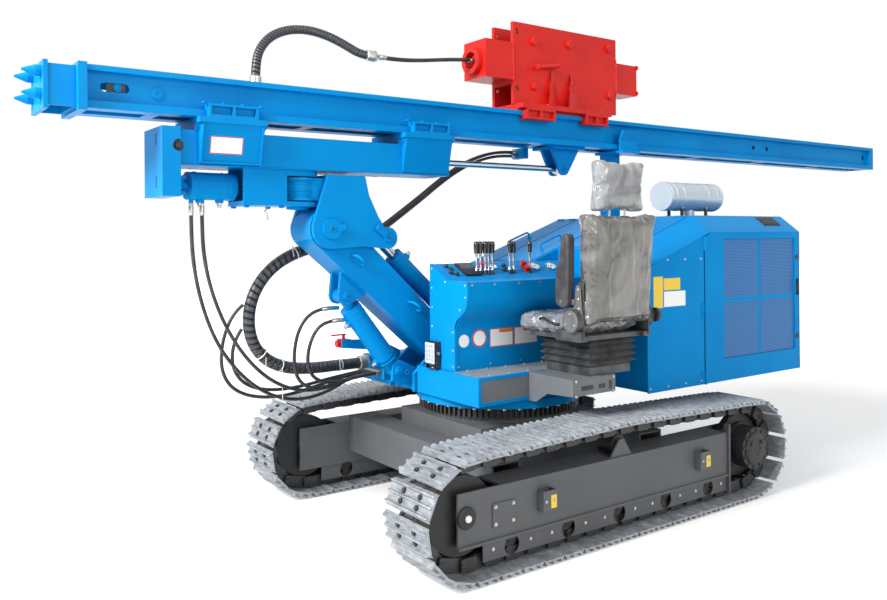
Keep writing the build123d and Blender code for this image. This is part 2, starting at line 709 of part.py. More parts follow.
# each lid lies on the rim of its opening and hinges at its upper edge
for name, y0, y1, low_x in hood_lids:
    with BuildPart() as lid:
        x0 = lid_top_x - lid_lap
        x1 = low_x + lid_lap
        with BuildSketch(side_plane(y1 + lid_lap)):
            outline((x0, hood_z(x0) + seat_gap), (x1, hood_z(x1) + seat_gap), (x1, hood_z(x1) + seat_gap + sheet),
                    (x0, hood_z(x0) + seat_gap + sheet))
        extrude(amount=y1 - y0 + 2 * lid_lap)
    save(lid, name)

with BuildPart() as front_wall:
    wall_top = hood_low - sheet
    over_block = deck_top + seat_gap
    slab(hood_front - sheet, hood_front, deck_right + sheet, block_right - seat_gap, side_floor, over_block)
    slab(hood_front - sheet, hood_front, deck_right + sheet, hood_step_y, over_block, wall_top - eave_drop)
    slab(hood_front - sheet, hood_front, deck_right + eave_in, hood_step_y, wall_top - eave_drop, wall_top)
    with BuildSketch(side_plane(hood_step_y)):
        outline((hood_front - sheet, over_block), (hood_front - sheet, hood_z(hood_front - sheet) - sheet),
                (hood_step, hood_z(hood_step) - sheet), (hood_step, over_block))
    extrude(amount=sheet)
    step_top = hood_z(hood_step) - sheet
    slab(hood_step - sheet, hood_step, hood_step_y - sheet, housing_left - sheet, side_floor + seat_gap,
         step_top - eave_drop)
    slab(hood_step - sheet, hood_step, hood_step_y - sheet, housing_left - eave_in, step_top - eave_drop, step_top)
save(front_wall, "front_wall")

with BuildPart() as engine:
    slab(slew_x - 1950, slew_x - 1150, -350, 350, side_floor + seat_gap, 1450)
save(engine, "engine")

muffler_y = 200.0
muffler_rear = slew_x - 1850
with BuildPart() as muffler:
    rod_x(muffler_y, 1862, 98, muffler_rear, slew_x - 1290)
    rod_z(slew_x - 1585, muffler_y, 34, roof_top, 1790)
    with BuildSketch(Plane.YZ.offset(muffler_rear)):
        with Locations((muffler_y, 1850)):
            Circle(40)
    extrude(amount=-70, taper=18)
save(muffler, "muffler")

with BuildPart() as mast_rest:
    saddle_top = mast_low - rest_gap
    slab(rest_x - 50, rest_x + 50, boom_y - 50, boom_y + 50, roof_top, saddle_top - 20)
    slab(rest_x - 90, rest_x + 90, boom_y - 60, boom_y + mast_half + 60, saddle_top - 20, saddle_top)
    with BuildSketch(Plane.YZ.offset(rest_x - 90)):
        horn_y = boom_y + mast_half
        outline((horn_y + 20, saddle_top - 20), (horn_y + 38, saddle_top - 20), (horn_y + 38, saddle_top + 70),
                (horn_y + 70, saddle_top + 135), (horn_y + 54, saddle_top + 140), (horn_y + 20, saddle_top + 72))
    extrude(amount=180)
save(mast_rest, "mast_rest")

# ---------------------------------------------------------------- boom
boom_cos = cos(radians(boom_angle))
boom_sin = sin(radians(boom_angle))


def boom_plane(y):
    """Sketch plane along the boom: x from its foot to its head, y square to it, upwards."""
    return Plane(origin=(boom_foot[0], y, boom_foot[1]), x_dir=(boom_cos, 0, boom_sin), z_dir=(0, -1, 0))


def on_boom(along, up):
    """World X and Z of a point given along the boom and square to it."""
    return (boom_foot[0] + along * boom_cos - up * boom_sin, boom_foot[1] + along * boom_sin + up * boom_cos)


tilt_base = on_boom(tilt_base_at, tilt_height)
tilt_eye = on_boom(tilt_eye_at, tilt_height)
lift_dx = lift_eye[0] - boom_foot[0]
lift_dz = lift_eye[1] - boom_foot[1]
lift_eye_at = lift_dx * boom_cos + lift_dz * boom_sin
lift_eye_up = -lift_dx * boom_sin + lift_dz * boom_cos
ear_in = eye_width / 2 + running

with BuildPart() as boom:
    with BuildSketch(boom_plane(boom_y)):
        Circle(boom_foot_radius)
        with Locations((boom_length, 0)):
            Circle(boom_end_radius)
        make_hull()
    extrude(amount=boom_width / 2, both=True)
    with BuildSketch(boom_plane(boom_y)):
        with Locations((boom_length / 2, 0)):
            Rectangle(boom_length - 2 * boom_end_radius - 20, 2 * (boom_foot_radius - boom_wall))
    extrude(amount=boom_width / 2 - boom_wall, both=True, mode=Mode.SUBTRACT)
    for sign in (1, -1):
        for along, up, shift, spread in ((lift_eye_at, lift_eye_up, 20, 230), (tilt_base_at, tilt_height, -15, 190)):
            with BuildSketch(boom_plane(boom_y + sign * ear_in)):
                with Locations((along, up)):
                    Circle(50)
                with Locations((along + shift, up / abs(up) * (boom_foot_radius - 4))):
                    Rectangle(spread, 4)
                make_hull()
            extrude(amount=-sign * ear)
    for along, up in ((lift_eye_at, lift_eye_up), (tilt_base_at, tilt_height)):
        x, z = on_boom(along, up)
        if up > 0:
            rod_y(x, z, pin_radius_small + seat_gap, boom_y - ear_in - ear - 1, boom_y + ear_in + ear + 1,
                  mode=Mode.SUBTRACT)
        else:
            for sign in (1, -1):
                rod_y(x, z, pin_radius_small, boom_y + sign * ear_in, boom_y + sign * (ear_in + ear + 14))
    for x, z in (boom_foot, head_pin):
        rod_y(x, z, pin_radius_main + seat_gap, boom_y - boom_width, boom_y + boom_width, mode=Mode.SUBTRACT)
save(boom, "boom")

with BuildPart() as tilt_pin:
    rod_y(tilt_base[0], tilt_base[1], pin_radius_small, boom_y - ear_in - ear - 12, boom_y + ear_in + ear + 12)
save(tilt_pin, "tilt_pin")


def cylinder_barrel(base, eye, radius, end, rod, pin, bore_from):
    """Barrel from its base pin towards the rod's eye: both points are (X, Z) on the boom's middle plane."""
    way = Vector(eye[0] - base[0], 0, eye[1] - base[1]).normalized()
    start = Vector(base[0], boom_y, base[1])
    rod_y(base[0], base[1], eye_radius, boom_y - eye_width / 2, boom_y + eye_width / 2)
    with Locations(Plane(origin=start, x_dir=(0, 1, 0), z_dir=way)):
        Box(eye_width, neck_depth, neck_length + 1, align=(Align.CENTER, Align.CENTER, Align.MIN))
    rod_between(start + way * neck_length, start + way * end, radius)
    rod_between(start + way * bore_from, start + way * (end + 1), rod + seat_gap, mode=Mode.SUBTRACT)
    rod_y(base[0], base[1], pin + seat_gap, boom_y - eye_width, boom_y + eye_width, mode=Mode.SUBTRACT)


def cylinder_rod(base, eye, rod, inner):
    """Rod and its eye; the inner end lies the given distance from the base pin."""
    way = Vector(eye[0] - base[0], 0, eye[1] - base[1]).normalized()
    start = Vector(base[0], boom_y, base[1])
    far = Vector(eye[0], boom_y, eye[1])
    rod_between(start + way * inner, far - way * 20, rod)
    rod_y(eye[0], eye[1], eye_radius - 3, boom_y - eye_width / 2, boom_y + eye_width / 2)


with BuildPart() as lift_barrel:
    cylinder_barrel(lift_base, lift_eye, lift_barrel_radius, lift_barrel_end, rod_radius, pin_radius_small, lift_bottom)
    for stub_y, stub_z, stub_from, stub_to in lift_stubs:
        rod_x(stub_y, stub_z, 12, slew_x + stub_from, slew_x + stub_to)
save(lift_barrel, "lift_barrel")
with BuildPart() as lift_rod:
    cylinder_rod(lift_base, lift_eye, rod_radius, lift_bottom + 2)
save(lift_rod, "lift_rod")
with BuildPart() as tilt_barrel:
    cylinder_barrel(tilt_base, tilt_eye, tilt_barrel_radius, tilt_barrel_end, rod_radius, pin_radius_small, tilt_bottom)
save(tilt_barrel, "tilt_barrel")
with BuildPart() as tilt_rod:
    cylinder_rod(tilt_base, tilt_eye, rod_radius, tilt_bottom + 2)
save(tilt_rod, "tilt_rod")

# ---------------------------------------------------------------- head
head_in = boom_width / 2 + running
head_out = head_in + ear
mx, mz = head_pin
with BuildPart() as head:
    for sign in (1, -1):
        with BuildSketch(side_plane(boom_y + sign * head_in)):
            with Locations(head_pin):
                Circle(head_round)
            with Locations(tilt_eye):
                Circle(lobe_radius)
            outline((mx + 16, head_top), (mx - 215, head_top), (mx - 240, mz + 190), (mx - 300, mz + 70),
                    (mx - 345, mz + 5), (tilt_eye[0], tilt_eye[1] - lobe_radius), (mx - 200, mz - 100),
                    (mx, mz - head_round), (mx + 105, mz - 40), (mx + head_round, mz + 20))
        extrude(amount=-sign * ear)
        rod_y(tilt_eye[0], tilt_eye[1], 26, boom_y + sign * (ear_in + 2), boom_y + sign * (head_out + 14))
    slab(mx - 215, mx + 16, boom_y - head_in, boom_y + head_in, head_top - 25, head_top)
    slab(mx - 215, mx - 190, boom_y - head_in, boom_y + head_in, knuckle_low, head_top)
    slab(mx - 9, mx + 16, boom_y - head_in, boom_y + head_in, knuckle_low - 12, head_top)
    slab(mx + 16, swivel_x, boom_y - knuckle_radius + 5, boom_y + knuckle_radius - 5, knuckle_low, knuckle_top)
    rod_z(swivel_x, boom_y, knuckle_radius, knuckle_low, knuckle_top)
    for flange_z in (knuckle_low, knuckle_top - 14):
        rod_z(swivel_x, boom_y, knuckle_radius + 12, flange_z, flange_z + 14)
    # arm to the swivel cylinder's eye
    for z0 in (swivel_z - 50, swivel_z + 30):
        with BuildSketch(Plane.XY.offset(z0)):
            with Locations((swivel_x + 40, boom_y - 10), (swivel_x + swivel_eye[0], boom_y + swivel_eye[1])):
                Circle(22)
            make_hull()
        extrude(amount=20)
    rod_z(swivel_x, boom_y, swivel_pin_radius + seat_gap, knuckle_low - 1, knuckle_top + 1, mode=Mode.SUBTRACT)
    rod_y(mx, mz, pin_radius_main + seat_gap, boom_y - head_out - 1, boom_y + head_out + 1, mode=Mode.SUBTRACT)
save(head, "head")

with BuildPart() as head_main_pin:
    rod_y(mx, mz, pin_radius_main, boom_y - head_out - 1, boom_y + head_out + 1)
    for sign in (1, -1):
        rod_y(mx, mz, pin_cap_radius, boom_y + sign * (head_out + seat_gap), boom_y + sign * (head_out + 14))
save(head_main_pin, "head_pin")

# ---------------------------------------------------------------- carrier
base_top = mast_low - slide_room
with BuildPart() as carrier:
    slab(carrier_rear, carrier_front - front_box_depth, boom_y - carrier_half, boom_y + carrier_half, carrier_low, carrier_top)
    slab(carrier_front - front_box_depth, carrier_front, boom_y - front_box_half, boom_y + front_box_half,
         front_box_low, carrier_top + 10)
    slab(carrier_rear - 1, carrier_front - carrier_wall, boom_y - carrier_half + carrier_wall,
         boom_y + carrier_half - carrier_wall, carrier_low + carrier_wall, carrier_top - carrier_wall, mode=Mode.SUBTRACT)
    slab(carrier_front - front_box_depth + carrier_wall, carrier_front - carrier_wall,
         boom_y - front_box_half + carrier_wall, boom_y + front_box_half - carrier_wall,
         front_box_low + carrier_wall, carrier_low - 1, mode=Mode.SUBTRACT)
    # hand hole in the near wall of the front box, slots in its front plate
    rod_y(slew_x + 1921, 2058, 30, boom_y + carrier_half - carrier_wall - 1, boom_y + front_box_half + 1, mode=Mode.SUBTRACT)
    for slot_low in (1850, 2060):
        slab(carrier_front - carrier_wall - 1, carrier_front + 1, boom_y + 40, boom_y + 54, slot_low, slot_low + 60, mode=Mode.SUBTRACT)
    # lower box and fork plates round the swivel knuckle
    for sign in (1, -1):
        slab(lower_box[0], lower_box[1], boom_y + sign * (lower_box_half - plate), boom_y + sign * lower_box_half,
             lower_plate[0], carrier_low)
    slab(swivel_x, lower_box[1], boom_y - lower_box_half, boom_y + lower_box_half, lower_plate[0], lower_plate[1])
    rod_z(swivel_x, boom_y, lower_box_half, lower_plate[0], lower_plate[1])
    slab(swivel_x, lower_box[0], boom_y - lower_box_half, boom_y + lower_box_half, knuckle_top + 7, carrier_low)
    rod_z(swivel_x, boom_y, lower_box_half, knuckle_top + 7, carrier_low)
    rod_z(swivel_x, boom_y, swivel_pin_radius, lower_plate[0] - 16, carrier_low)
    rod_z(swivel_x, boom_y, 62, lower_plate[0] - 14, lower_plate[0])
    # barrel lugs on the front box
    for z0 in (swivel_z - 50, swivel_z + 30):
        slab(swivel_x + swivel_base_x - 30, carrier_front - front_box_depth, boom_y - 35, boom_y + 35, z0, z0 + 20)
    rod_z(swivel_x + swivel_base_x, boom_y, 16, swivel_z - 50, swivel_z + 50)
    # guide clamps round the mast's lower flange
    reach = mast_half + slide_room + clamp_wall
    for base0, base1, box0, box1 in carrier_clamps:
        slab(base0, base1, boom_y - carrier_half, boom_y + carrier_half, carrier_top, base_top - clamp_base)
        slab(base0, base1, boom_y - reach, boom_y + reach, base_top - clamp_base, base_top)
        for sign in (1, -1):
            with BuildSketch(Plane.YZ.offset(base0 + 15)):
                outline((boom_y + sign * (carrier_half - 2), carrier_low + 10), (boom_y + sign * (carrier_half + 12), carrier_low + 10),
                        (boom_y + sign * (reach - 8), base_top - clamp_base), (boom_y + sign * (carrier_half - 2), base_top - clamp_base))
            extrude(amount=base1 - base0 - 30)
            outer = boom_y + sign * reach
            inner = boom_y + sign * (mast_half + slide_room)
            lip_low = mast_low + flange_low + slide_room
            slab(box0, box1, inner, outer, base_top, lip_low)
            slab(box0, box1, boom_y + sign * (mast_half - clamp_lip), outer, lip_low, lip_low + clamp_rise)
            middle = (box0 + box1) / 2
            for w0, w1 in ((box0 + 14, middle - 7), (middle + 7, box1 - 14)):
                slab(w0, w1, outer, outer - sign * 24, base_top + 12, lip_low + clamp_rise - 12, mode=Mode.SUBTRACT)
save(carrier, "carrier")

with BuildPart() as swivel_barrel:
    px = swivel_x + swivel_base_x
    rod_z(px, boom_y, 30, swivel_z - 25, swivel_z + 25)
    target = Vector(swivel_x + swivel_eye[0], boom_y + swivel_eye[1], swivel_z)
    start = Vector(px, boom_y, swivel_z)
    way = (target - start).normalized()
    rod_between(start + way * 10, start + way * 60, 24)
    rod_between(start + way * 45, start + way * swivel_barrel_end, swivel_barrel_radius)
    rod_between(start + way * 70, start + way * (swivel_barrel_end + 1), swivel_rod_radius + seat_gap, mode=Mode.SUBTRACT)
    for port_x in swivel_ports:
        rod_z(slew_x + port_x, boom_y - 4, 12, swivel_z - swivel_barrel_radius - port_reach, swivel_z - swivel_barrel_radius + 12)
    rod_z(px, boom_y, 16 + seat_gap, swivel_z - 30, swivel_z + 30, mode=Mode.SUBTRACT)
save(swivel_barrel, "swivel_barrel")
with BuildPart() as swivel_rod:
    rod_between(start + way * 120, target - way * 10, swivel_rod_radius - 6)
    rod_between(start + way * 120, start + way * 400, swivel_rod_radius)
    rod_z(target.X, target.Y, 20, swivel_z - 25, swivel_z + 25)
save(swivel_rod, "swivel_rod")

with BuildPart() as slide_barrel:
    rod_x(boom_y, slide_z, slide_barrel_radius, carrier_rear + 40, carrier_front - front_box_depth - 40)
    rod_x(boom_y, slide_z, slide_rod_radius + seat_gap, carrier_rear + 39, carrier_front - front_box_depth - 60,
          mode=Mode.SUBTRACT)
    slab(carrier_front - front_box_depth - 40, carrier_front - carrier_wall - seat_gap, boom_y - 30, boom_y + 30,
         slide_z - 30, slide_z + 30)
    slab(carrier_rear + 60, carrier_rear + 90, boom_y - 60, boom_y + 60, carrier_low + carrier_wall + seat_gap,
         slide_z - slide_barrel_radius + 5)
save(slide_barrel, "slide_barrel")

# ---------------------------------------------------------------- mast
with BuildPart() as mast:
    with BuildSketch(Plane.YZ.offset(mast_rear)):
        with Locations((boom_y, mast_top - flange_top / 2)):
            Rectangle(2 * mast_half, flange_top)
        for sign in (1, -1):
            with Locations((boom_y + sign * (web_half - web_plate / 2), (mast_low + mast_top) / 2)):
                Rectangle(web_plate, mast_top - mast_low - 4)
            with Locations((boom_y + sign * (mast_half + 60) / 2, mast_low + flange_low / 2)):
                Rectangle(mast_half - 60, flange_low)
    extrude(amount=mast_front - mast_rear)
    strap_x = mast_front - 300
    while strap_x > mast_rear + 200:
        slab(strap_x - 60, strap_x, boom_y - 61, boom_y + 61, mast_low, mast_low + 10)
        strap_x -= strap_step
    slab(mast_rear, mast_rear + 14, boom_y - web_half, boom_y + web_half, mast_low, mast_top - 5)
    for sign in (1, -1):
        slab(mast_rear, mast_rear + 60, boom_y + sign * (web_half - 2), boom_y + sign * mast_half, mast_low, mast_top - 5)
    # shaft slot near the foot and the holes near the tail, through both webs
    slab(slew_x + 2167, slew_x + 2257, boom_y - web_half - 1, boom_y + web_half + 1, slot_z - 22, slot_z + 22, mode=Mode.SUBTRACT)
    for hole_x, hole_radius in ((2167, 22), (2257, 22), (-2876, 20), (-3068, 20), (-4629, 24)):
        rod_y(slew_x + hole_x, slot_z, hole_radius, boom_y - web_half - 1, boom_y + web_half + 1, mode=Mode.SUBTRACT)
    # bulkhead of the feed hoses and boss of the upper hoses
    slab(slew_x - 605, bulkhead_x, bulkhead_y - 45, boom_y - mast_half + 20, bulkhead_z - 32, mast_low)
    rod_z(slew_x + loop_x, boom_y, 30, mast_top - 5, mast_top + boss_rise)
    # lug of the slide cylinder's rod
    slab(slide_lug_x - 150, slide_lug_x + 140, boom_y - 110, boom_y + 110, mast_low - 20, mast_low)
    for sign in (1, -1):
        with BuildSketch(side_plane(boom_y + sign * 40)):
            with Locations((slide_lug_x, slide_z)):
                Circle(45)
            with Locations((slide_lug_x - 10, mast_low - 21)):
                Rectangle(250, 2)
            make_hull()
        extrude(amount=-sign * 20)
    rod_y(slide_lug_x, slide_z, 20, boom_y - 72, boom_y + 72)
save(mast, "mast")

with BuildPart() as slide_rod:
    rod_x(boom_y, slide_z, slide_rod_radius, slide_lug_x + 25, carrier_rear + 180)
    rod_y(slide_lug_x, slide_z, 36, boom_y - 39.7, boom_y + 39.7)
    rod_y(slide_lug_x, slide_z, 20 + seat_gap, boom_y - 41, boom_y + 41, mode=Mode.SUBTRACT)
save(slide_rod, "slide_rod")

with BuildPart() as mast_foot:
    box_rear = mast_front + end_plate
    slab(mast_front, box_rear, boom_y - 190, boom_y + 190, mast_low - 16, mast_top + 2)
    slab(box_rear, foot_face, boom_y - 150, boom_y + 150, mast_low, mast_top - 14)
    slab(box_rear + 12, foot_face - 12, boom_y - 138, boom_y + 138, mast_low - 1, mast_top - 26, mode=Mode.SUBTRACT)
    slab(foot_face, foot_face + 20, boom_y - 155, boom_y + 155, mast_low - 16, mast_top)
    for dy in (-100, 100):
        for z in (mast_low + 55, mast_top - 45):
            rod_x(boom_y + dy, z, spike_radius, foot_face + 20, tip_x - spike_point)
            with BuildSketch(Plane.YZ.offset(tip_x - spike_point)):
                with Locations((boom_y + dy, z)):
                    Circle(spike_radius)
            with BuildSketch(Plane.YZ.offset(tip_x)):
                with Locations((boom_y + dy, z)):
                    Circle(5)
            loft()
save(mast_foot, "mast_foot")

# ---------------------------------------------------------------- hoses
# routes: X from the slewing axis, Y, Z; each corner is rounded by an arc as large as its runs allow
route_ends = slew_x + 565.0
swivel_front = [(1812, -264, 1766), (1812, -264, 1645), (1800, -276, 1488), (1768, -292, 1325), (1718, -310, 1172),
                (1650, -332, 1030), (1556, -358, 902), (1440, -394, 790), (1304, -434, 704), (1156, -470, 655),
                (1006, -498, 650), (866, -512, 683), (750, -517, 734), (650, -518, 760), (565, -518, 760)]
swivel_rear = [(1755, -264, 1766), (1755, -264, 1652), (1744, -271, 1502), (1708, -282, 1345), (1650, -298, 1195),
               (1572, -320, 1055), (1474, -348, 928), (1356, -384, 820), (1222, -422, 742), (1080, -456, 700),
               (935, -480, 698), (800, -489, 724), (690, -490, 750), (622, -490, 760), (565, -490, 760)]
branch_long = [(1452, -470, 1224), (1500, -474, 1185), (1545, -484, 1095), (1570, -494, 985), (1568, -504, 872), (1524, -512, 776),
               (1436, -520, 712), (1320, -526, 680), (1190, -532, 672), (1060, -538, 686), (930, -542, 712),
               (800, -545, 738), (690, -545, 752), (622, -546, 760), (565, -546, 760)]
branch_short = [(1461, -470, 1089), (1488, -478, 1045), (1508, -496, 965), (1496, -518, 868), (1440, -538, 784),
                (1350, -554, 732), (1240, -564, 708), (1120, -570, 704), (1000, -573, 714), (880, -575, 732),
                (770, -575, 744), (680, -573, 755), (615, -574, 760), (565, -574, 760)]
lift_high = [(1000, -300, 1190), (1060, -300, 1190), (1135, -318, 1150), (1180, -334, 1070), (1196, -350, 975),
             (1192, -368, 880), (1164, -388, 795), (1108, -404, 740), (1030, -422, 714), (940, -440, 716),
             (850, -453, 732), (765, -460, 746), (682, -461, 755), (615, -462, 760), (565, -462, 760)]
lift_low = [(955, -262, 1122), (1018, -262, 1122), (1084, -279, 1090), (1119, -302, 1012), (1128, -326, 925),
            (1110, -352, 845), (1062, -376, 785), (990, -398, 750), (905, -416, 738), (820, -428, 744),
            (735, -432, 752), (660, -434, 757), (605, -434, 760), (565, -434, 760)]
bundle_route = [(830, -470, 1558), (945, -470, 1558), (1080, -470, 1525), (1212, -470, 1472), (1325, -470, 1385),
                (1400, -470, 1265), (1425, -470, 1130), (1398, -472, 998), (1315, -478, 900), (1195, -492, 845),
                (1062, -518, 822), (930, -556, 812), (812, -602, 806), (715, -634, 799), (640, -652, 797), (565, -652, 797)]
feed_route = [(-560, -464, 2168), (-440, -464, 2168), (-300, -464, 2146), (-160, -465, 2100), (-20, -466, 2030),
              (115, -467, 1942), (245, -468, 1848), (375, -469, 1760), (500, -470, 1676), (620, -470, 1600), (725, -470, 1558),
              (800, -470, 1558)]
feed_lanes = [(-14, 12), (14, 12), (0, -14)]
loop_route = [(1457, -260, 2422), (1457, -260, 2522), (1434, -264, 2618), (1366, -267, 2700), (1262, -269, 2750),
              (1142, -270, 2766), (1022, -269, 2750), (908, -267, 2712), (806, -261, 2664), (718, -260, 2664)]
hammer_route = [(688, -260, 2664), (592, -260, 2664), (474, -262, 2670), (350, -262, 2684), (225, -262, 2703), (104, -260, 2718),
                (30, -260, 2725), (-39, -260, 2725)]
hammer_lanes = [(-13, 0), (13, 0)]


def placed(route, shift_y=0.0, shift_z=0.0):
    """A route in the part's own frame, moved aside for a neighbouring hose."""
    return [(slew_x + x, y + shift_y, z + shift_z) for x, y, z in route]


def hose_tube(name, route, diameter):
    """A solid round hose along a route; prints its tightest bend and its length."""
    runs = [Vector(*b) - Vector(*a) for a, b in zip(route, route[1:])]
    radii = []
    for before, after in zip(runs, runs[1:]):
        turn = radians(before.get_angle(after))
        radii.append(0.45 * min(before.length, after.length) / tan(turn / 2))
    with BuildPart() as tube:
        with BuildLine() as line:
            FilletPolyline(*route, radius=radii)
        with BuildSketch(Plane(origin=route[0], z_dir=runs[0])):
            Circle(diameter / 2)
        sweep(path=line.line)
    length = sum(edge.length for edge in line.edges())
    section = pi * diameter * diameter / 4
    print(name, "radii", [round(r) for r in radii], "length", round(length), "volume share",
          round(tube.part.volume / (section * length), 3), "valid", tube.part.is_valid)
    return tube.part


hose_nodes = [("hose_swivel", [(swivel_front, hose, 0, 0), (swivel_rear, hose, 0, 0)]),
              ("hose_branch", [(branch_long, hose, 0, 0), (branch_short, hose, 0, 0)]),
              ("hose_lift", [(lift_high, hose, 0, 0), (lift_low, hose, 0, 0)]),
              ("hose_bundle", [(bundle_route, bundle, 0, 0)]),
              ("hose_feed", [(feed_route, hose, dy, dz) for dy, dz in feed_lanes]),
              ("hose_upper", [(loop_route, upper_bundle, 0, 0)] + [(hammer_route, hose, dy, dz) for dy, dz in hammer_lanes])]
for name, members in hose_nodes:
    with BuildPart() as hoses:
        for route, diameter, shift_y, shift_z in members:
            add(hose_tube(name, placed(route, shift_y, shift_z), diameter))
        if name == "hose_bundle":
            rod_x(-470, 1558, bundle / 2 + 3, slew_x + 800, slew_x + 830)
        if name == "hose_upper":
            rod_x(-260, 2664, upper_bundle / 2 + 3, slew_x + 688, slew_x + 718)
    save(hoses, name)

with BuildPart() as valve_bracket:
    with BuildSketch(side_plane(-436)):
        outline((slew_x + 440, deck_top + seat_gap), (deck_front - 5, deck_top + seat_gap), (slew_x + 620, 905),
                (slew_x + 850, 935), (slew_x + 850, 985), (slew_x + 600, 970), (slew_x + 440, 890))
    extrude(amount=-12)
save(valve_bracket, "valve_bracket")
with BuildPart() as shut_off_valve:
    slab(slew_x + 790, slew_x + 846, -500, -436 - seat_gap, 932, 984)
    rod_x(-468, 958, 20, slew_x + 768, slew_x + 868)
    rod_z(slew_x + 818, -468, 9, 984, 1012)
    slab(slew_x + 806, slew_x + 900, -478, -458, 1006, 1014)
save(shut_off_valve, "shut_off_valve")

# ---------------------------------------------------------------- hammer
rail_top = mast_top + slide_room
with BuildPart() as hammer_frame:
    for sign in (1, -1):
        slab(hammer_rear, hammer_front, boom_y + sign * (hammer_half - ear), boom_y + sign * hammer_half, hammer_low, hammer_top)
        for box0, box1 in ((slew_x - 567, slew_x - 316), (slew_x - 1066, slew_x - 851)):
            outer = boom_y + sign * (mast_half + slide_room + clamp_wall)
            inner = boom_y + sign * (mast_half + slide_room)
            hook = mast_top - flange_top - slide_room
            slab(box0, box1, inner, outer, hook, hammer_low - 32)
            slab(box0, box1, boom_y + sign * (mast_half - clamp_lip), outer, hook - 26, hook)
            middle = (box0 + box1) / 2
            for w0, w1 in ((box0 + 16, middle - 8), (middle + 8, box1 - 16)):
                slab(w0, w1, outer, outer - sign * 24, hook - 14, hammer_low - 44, mode=Mode.SUBTRACT)
        # gussets
        for gx in (slew_x - 575, slew_x - 755):
            side = boom_y + sign * hammer_half
            with BuildSketch(Plane.XY.offset(hammer_low)):
                outline((gx, side), (gx + 50, side + sign * 72), (gx - 110, side))
            with BuildSketch(Plane.XY.offset(hammer_low + 250)):
                outline((gx - 28, side), (gx - 24, side + sign * 6), (gx - 40, side))
            loft()
        # corner holes
        for hole_x, hole_z in ((hammer_front - 32, hammer_top - 55), (hammer_front - 32, hammer_low + 110)):
            rod_y(hole_x, hole_z, 12, boom_y + sign * (hammer_half - ear - 1), boom_y + sign * (hammer_half + 1),
                  mode=Mode.SUBTRACT)
    slab(slew_x - 1100, hammer_front - 10, boom_y - mast_half - clamp_wall, boom_y + mast_half + clamp_wall,
         hammer_low - 32, hammer_low)
    for sign in (1, -1):
        slab(slew_x - 1100, hammer_front - 10, boom_y + sign * 60, boom_y + sign * 140, rail_top, hammer_low - 32)
save(hammer_frame, "hammer_frame")

with BuildPart() as breaker:
    fit = hammer_half - ear - seat_gap
    slab(hammer_rear, hammer_front, boom_y - fit, boom_y + fit, breaker_z - 130, breaker_z + 130)
    slab(hammer_front, slew_x - 39, boom_y - 112, boom_y + 112, breaker_z - 105, breaker_z + 137)
    slab(slew_x - 1478, hammer_rear, boom_y - fit, boom_y + fit, breaker_z - 100, breaker_z + 120)
    rod_x(boom_y, ring_z, 88, slew_x - 39, slew_x)
    rod_x(boom_y, ring_z, 54, slew_x - 110, slew_x + 1, mode=Mode.SUBTRACT)
    rod_x(boom_y, ring_z, 42, slew_x - 112, slew_x - 40)
save(breaker, "breaker")
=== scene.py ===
import bpy
import bmesh
import json
from math import atan2, cos, hypot, pi, radians, sin, sqrt
from mathutils import Matrix, Vector, noise

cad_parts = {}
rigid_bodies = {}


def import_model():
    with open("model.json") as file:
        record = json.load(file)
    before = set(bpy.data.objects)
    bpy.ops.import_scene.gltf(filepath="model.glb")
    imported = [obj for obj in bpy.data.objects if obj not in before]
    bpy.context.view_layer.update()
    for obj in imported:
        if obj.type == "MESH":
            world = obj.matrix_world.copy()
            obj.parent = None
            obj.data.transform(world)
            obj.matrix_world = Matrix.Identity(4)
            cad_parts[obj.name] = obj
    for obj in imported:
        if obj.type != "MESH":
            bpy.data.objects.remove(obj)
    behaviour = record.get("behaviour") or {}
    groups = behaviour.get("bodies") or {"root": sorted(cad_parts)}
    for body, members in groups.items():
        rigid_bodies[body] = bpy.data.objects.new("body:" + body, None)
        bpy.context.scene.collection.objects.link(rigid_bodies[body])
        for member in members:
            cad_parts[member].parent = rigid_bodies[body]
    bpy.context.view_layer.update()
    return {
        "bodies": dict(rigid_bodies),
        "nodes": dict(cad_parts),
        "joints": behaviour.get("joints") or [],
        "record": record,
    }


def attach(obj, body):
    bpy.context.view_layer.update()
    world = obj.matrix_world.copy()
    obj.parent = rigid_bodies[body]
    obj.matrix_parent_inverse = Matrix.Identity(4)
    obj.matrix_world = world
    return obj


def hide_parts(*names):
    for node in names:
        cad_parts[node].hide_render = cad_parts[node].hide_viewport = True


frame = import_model()
print("model loaded")

slewX = 1.0635       # slewing axis, metres
middleY = -260       # middle plane of the boom, carrier and mast, mm
seatX = -140         # middle plane of the seat, mm from the slewing axis
sideY = 736.2        # outer face of the housing's near side, mm


def at(x, y, z):
    # millimetres, X from the slewing axis
    return Vector((slewX + x / 1000, y / 1000, z / 1000))


def placed(name, data):
    # an object at the origin, in the scene
    made = bpy.data.objects.new(name, data)
    bpy.context.collection.objects.link(made)
    return made


def evaluated(piece):
    # a mesh of the piece with its modifiers applied
    graph = bpy.context.evaluated_depsgraph_get()
    return bpy.data.meshes.new_from_object(piece.evaluated_get(graph), depsgraph=graph)


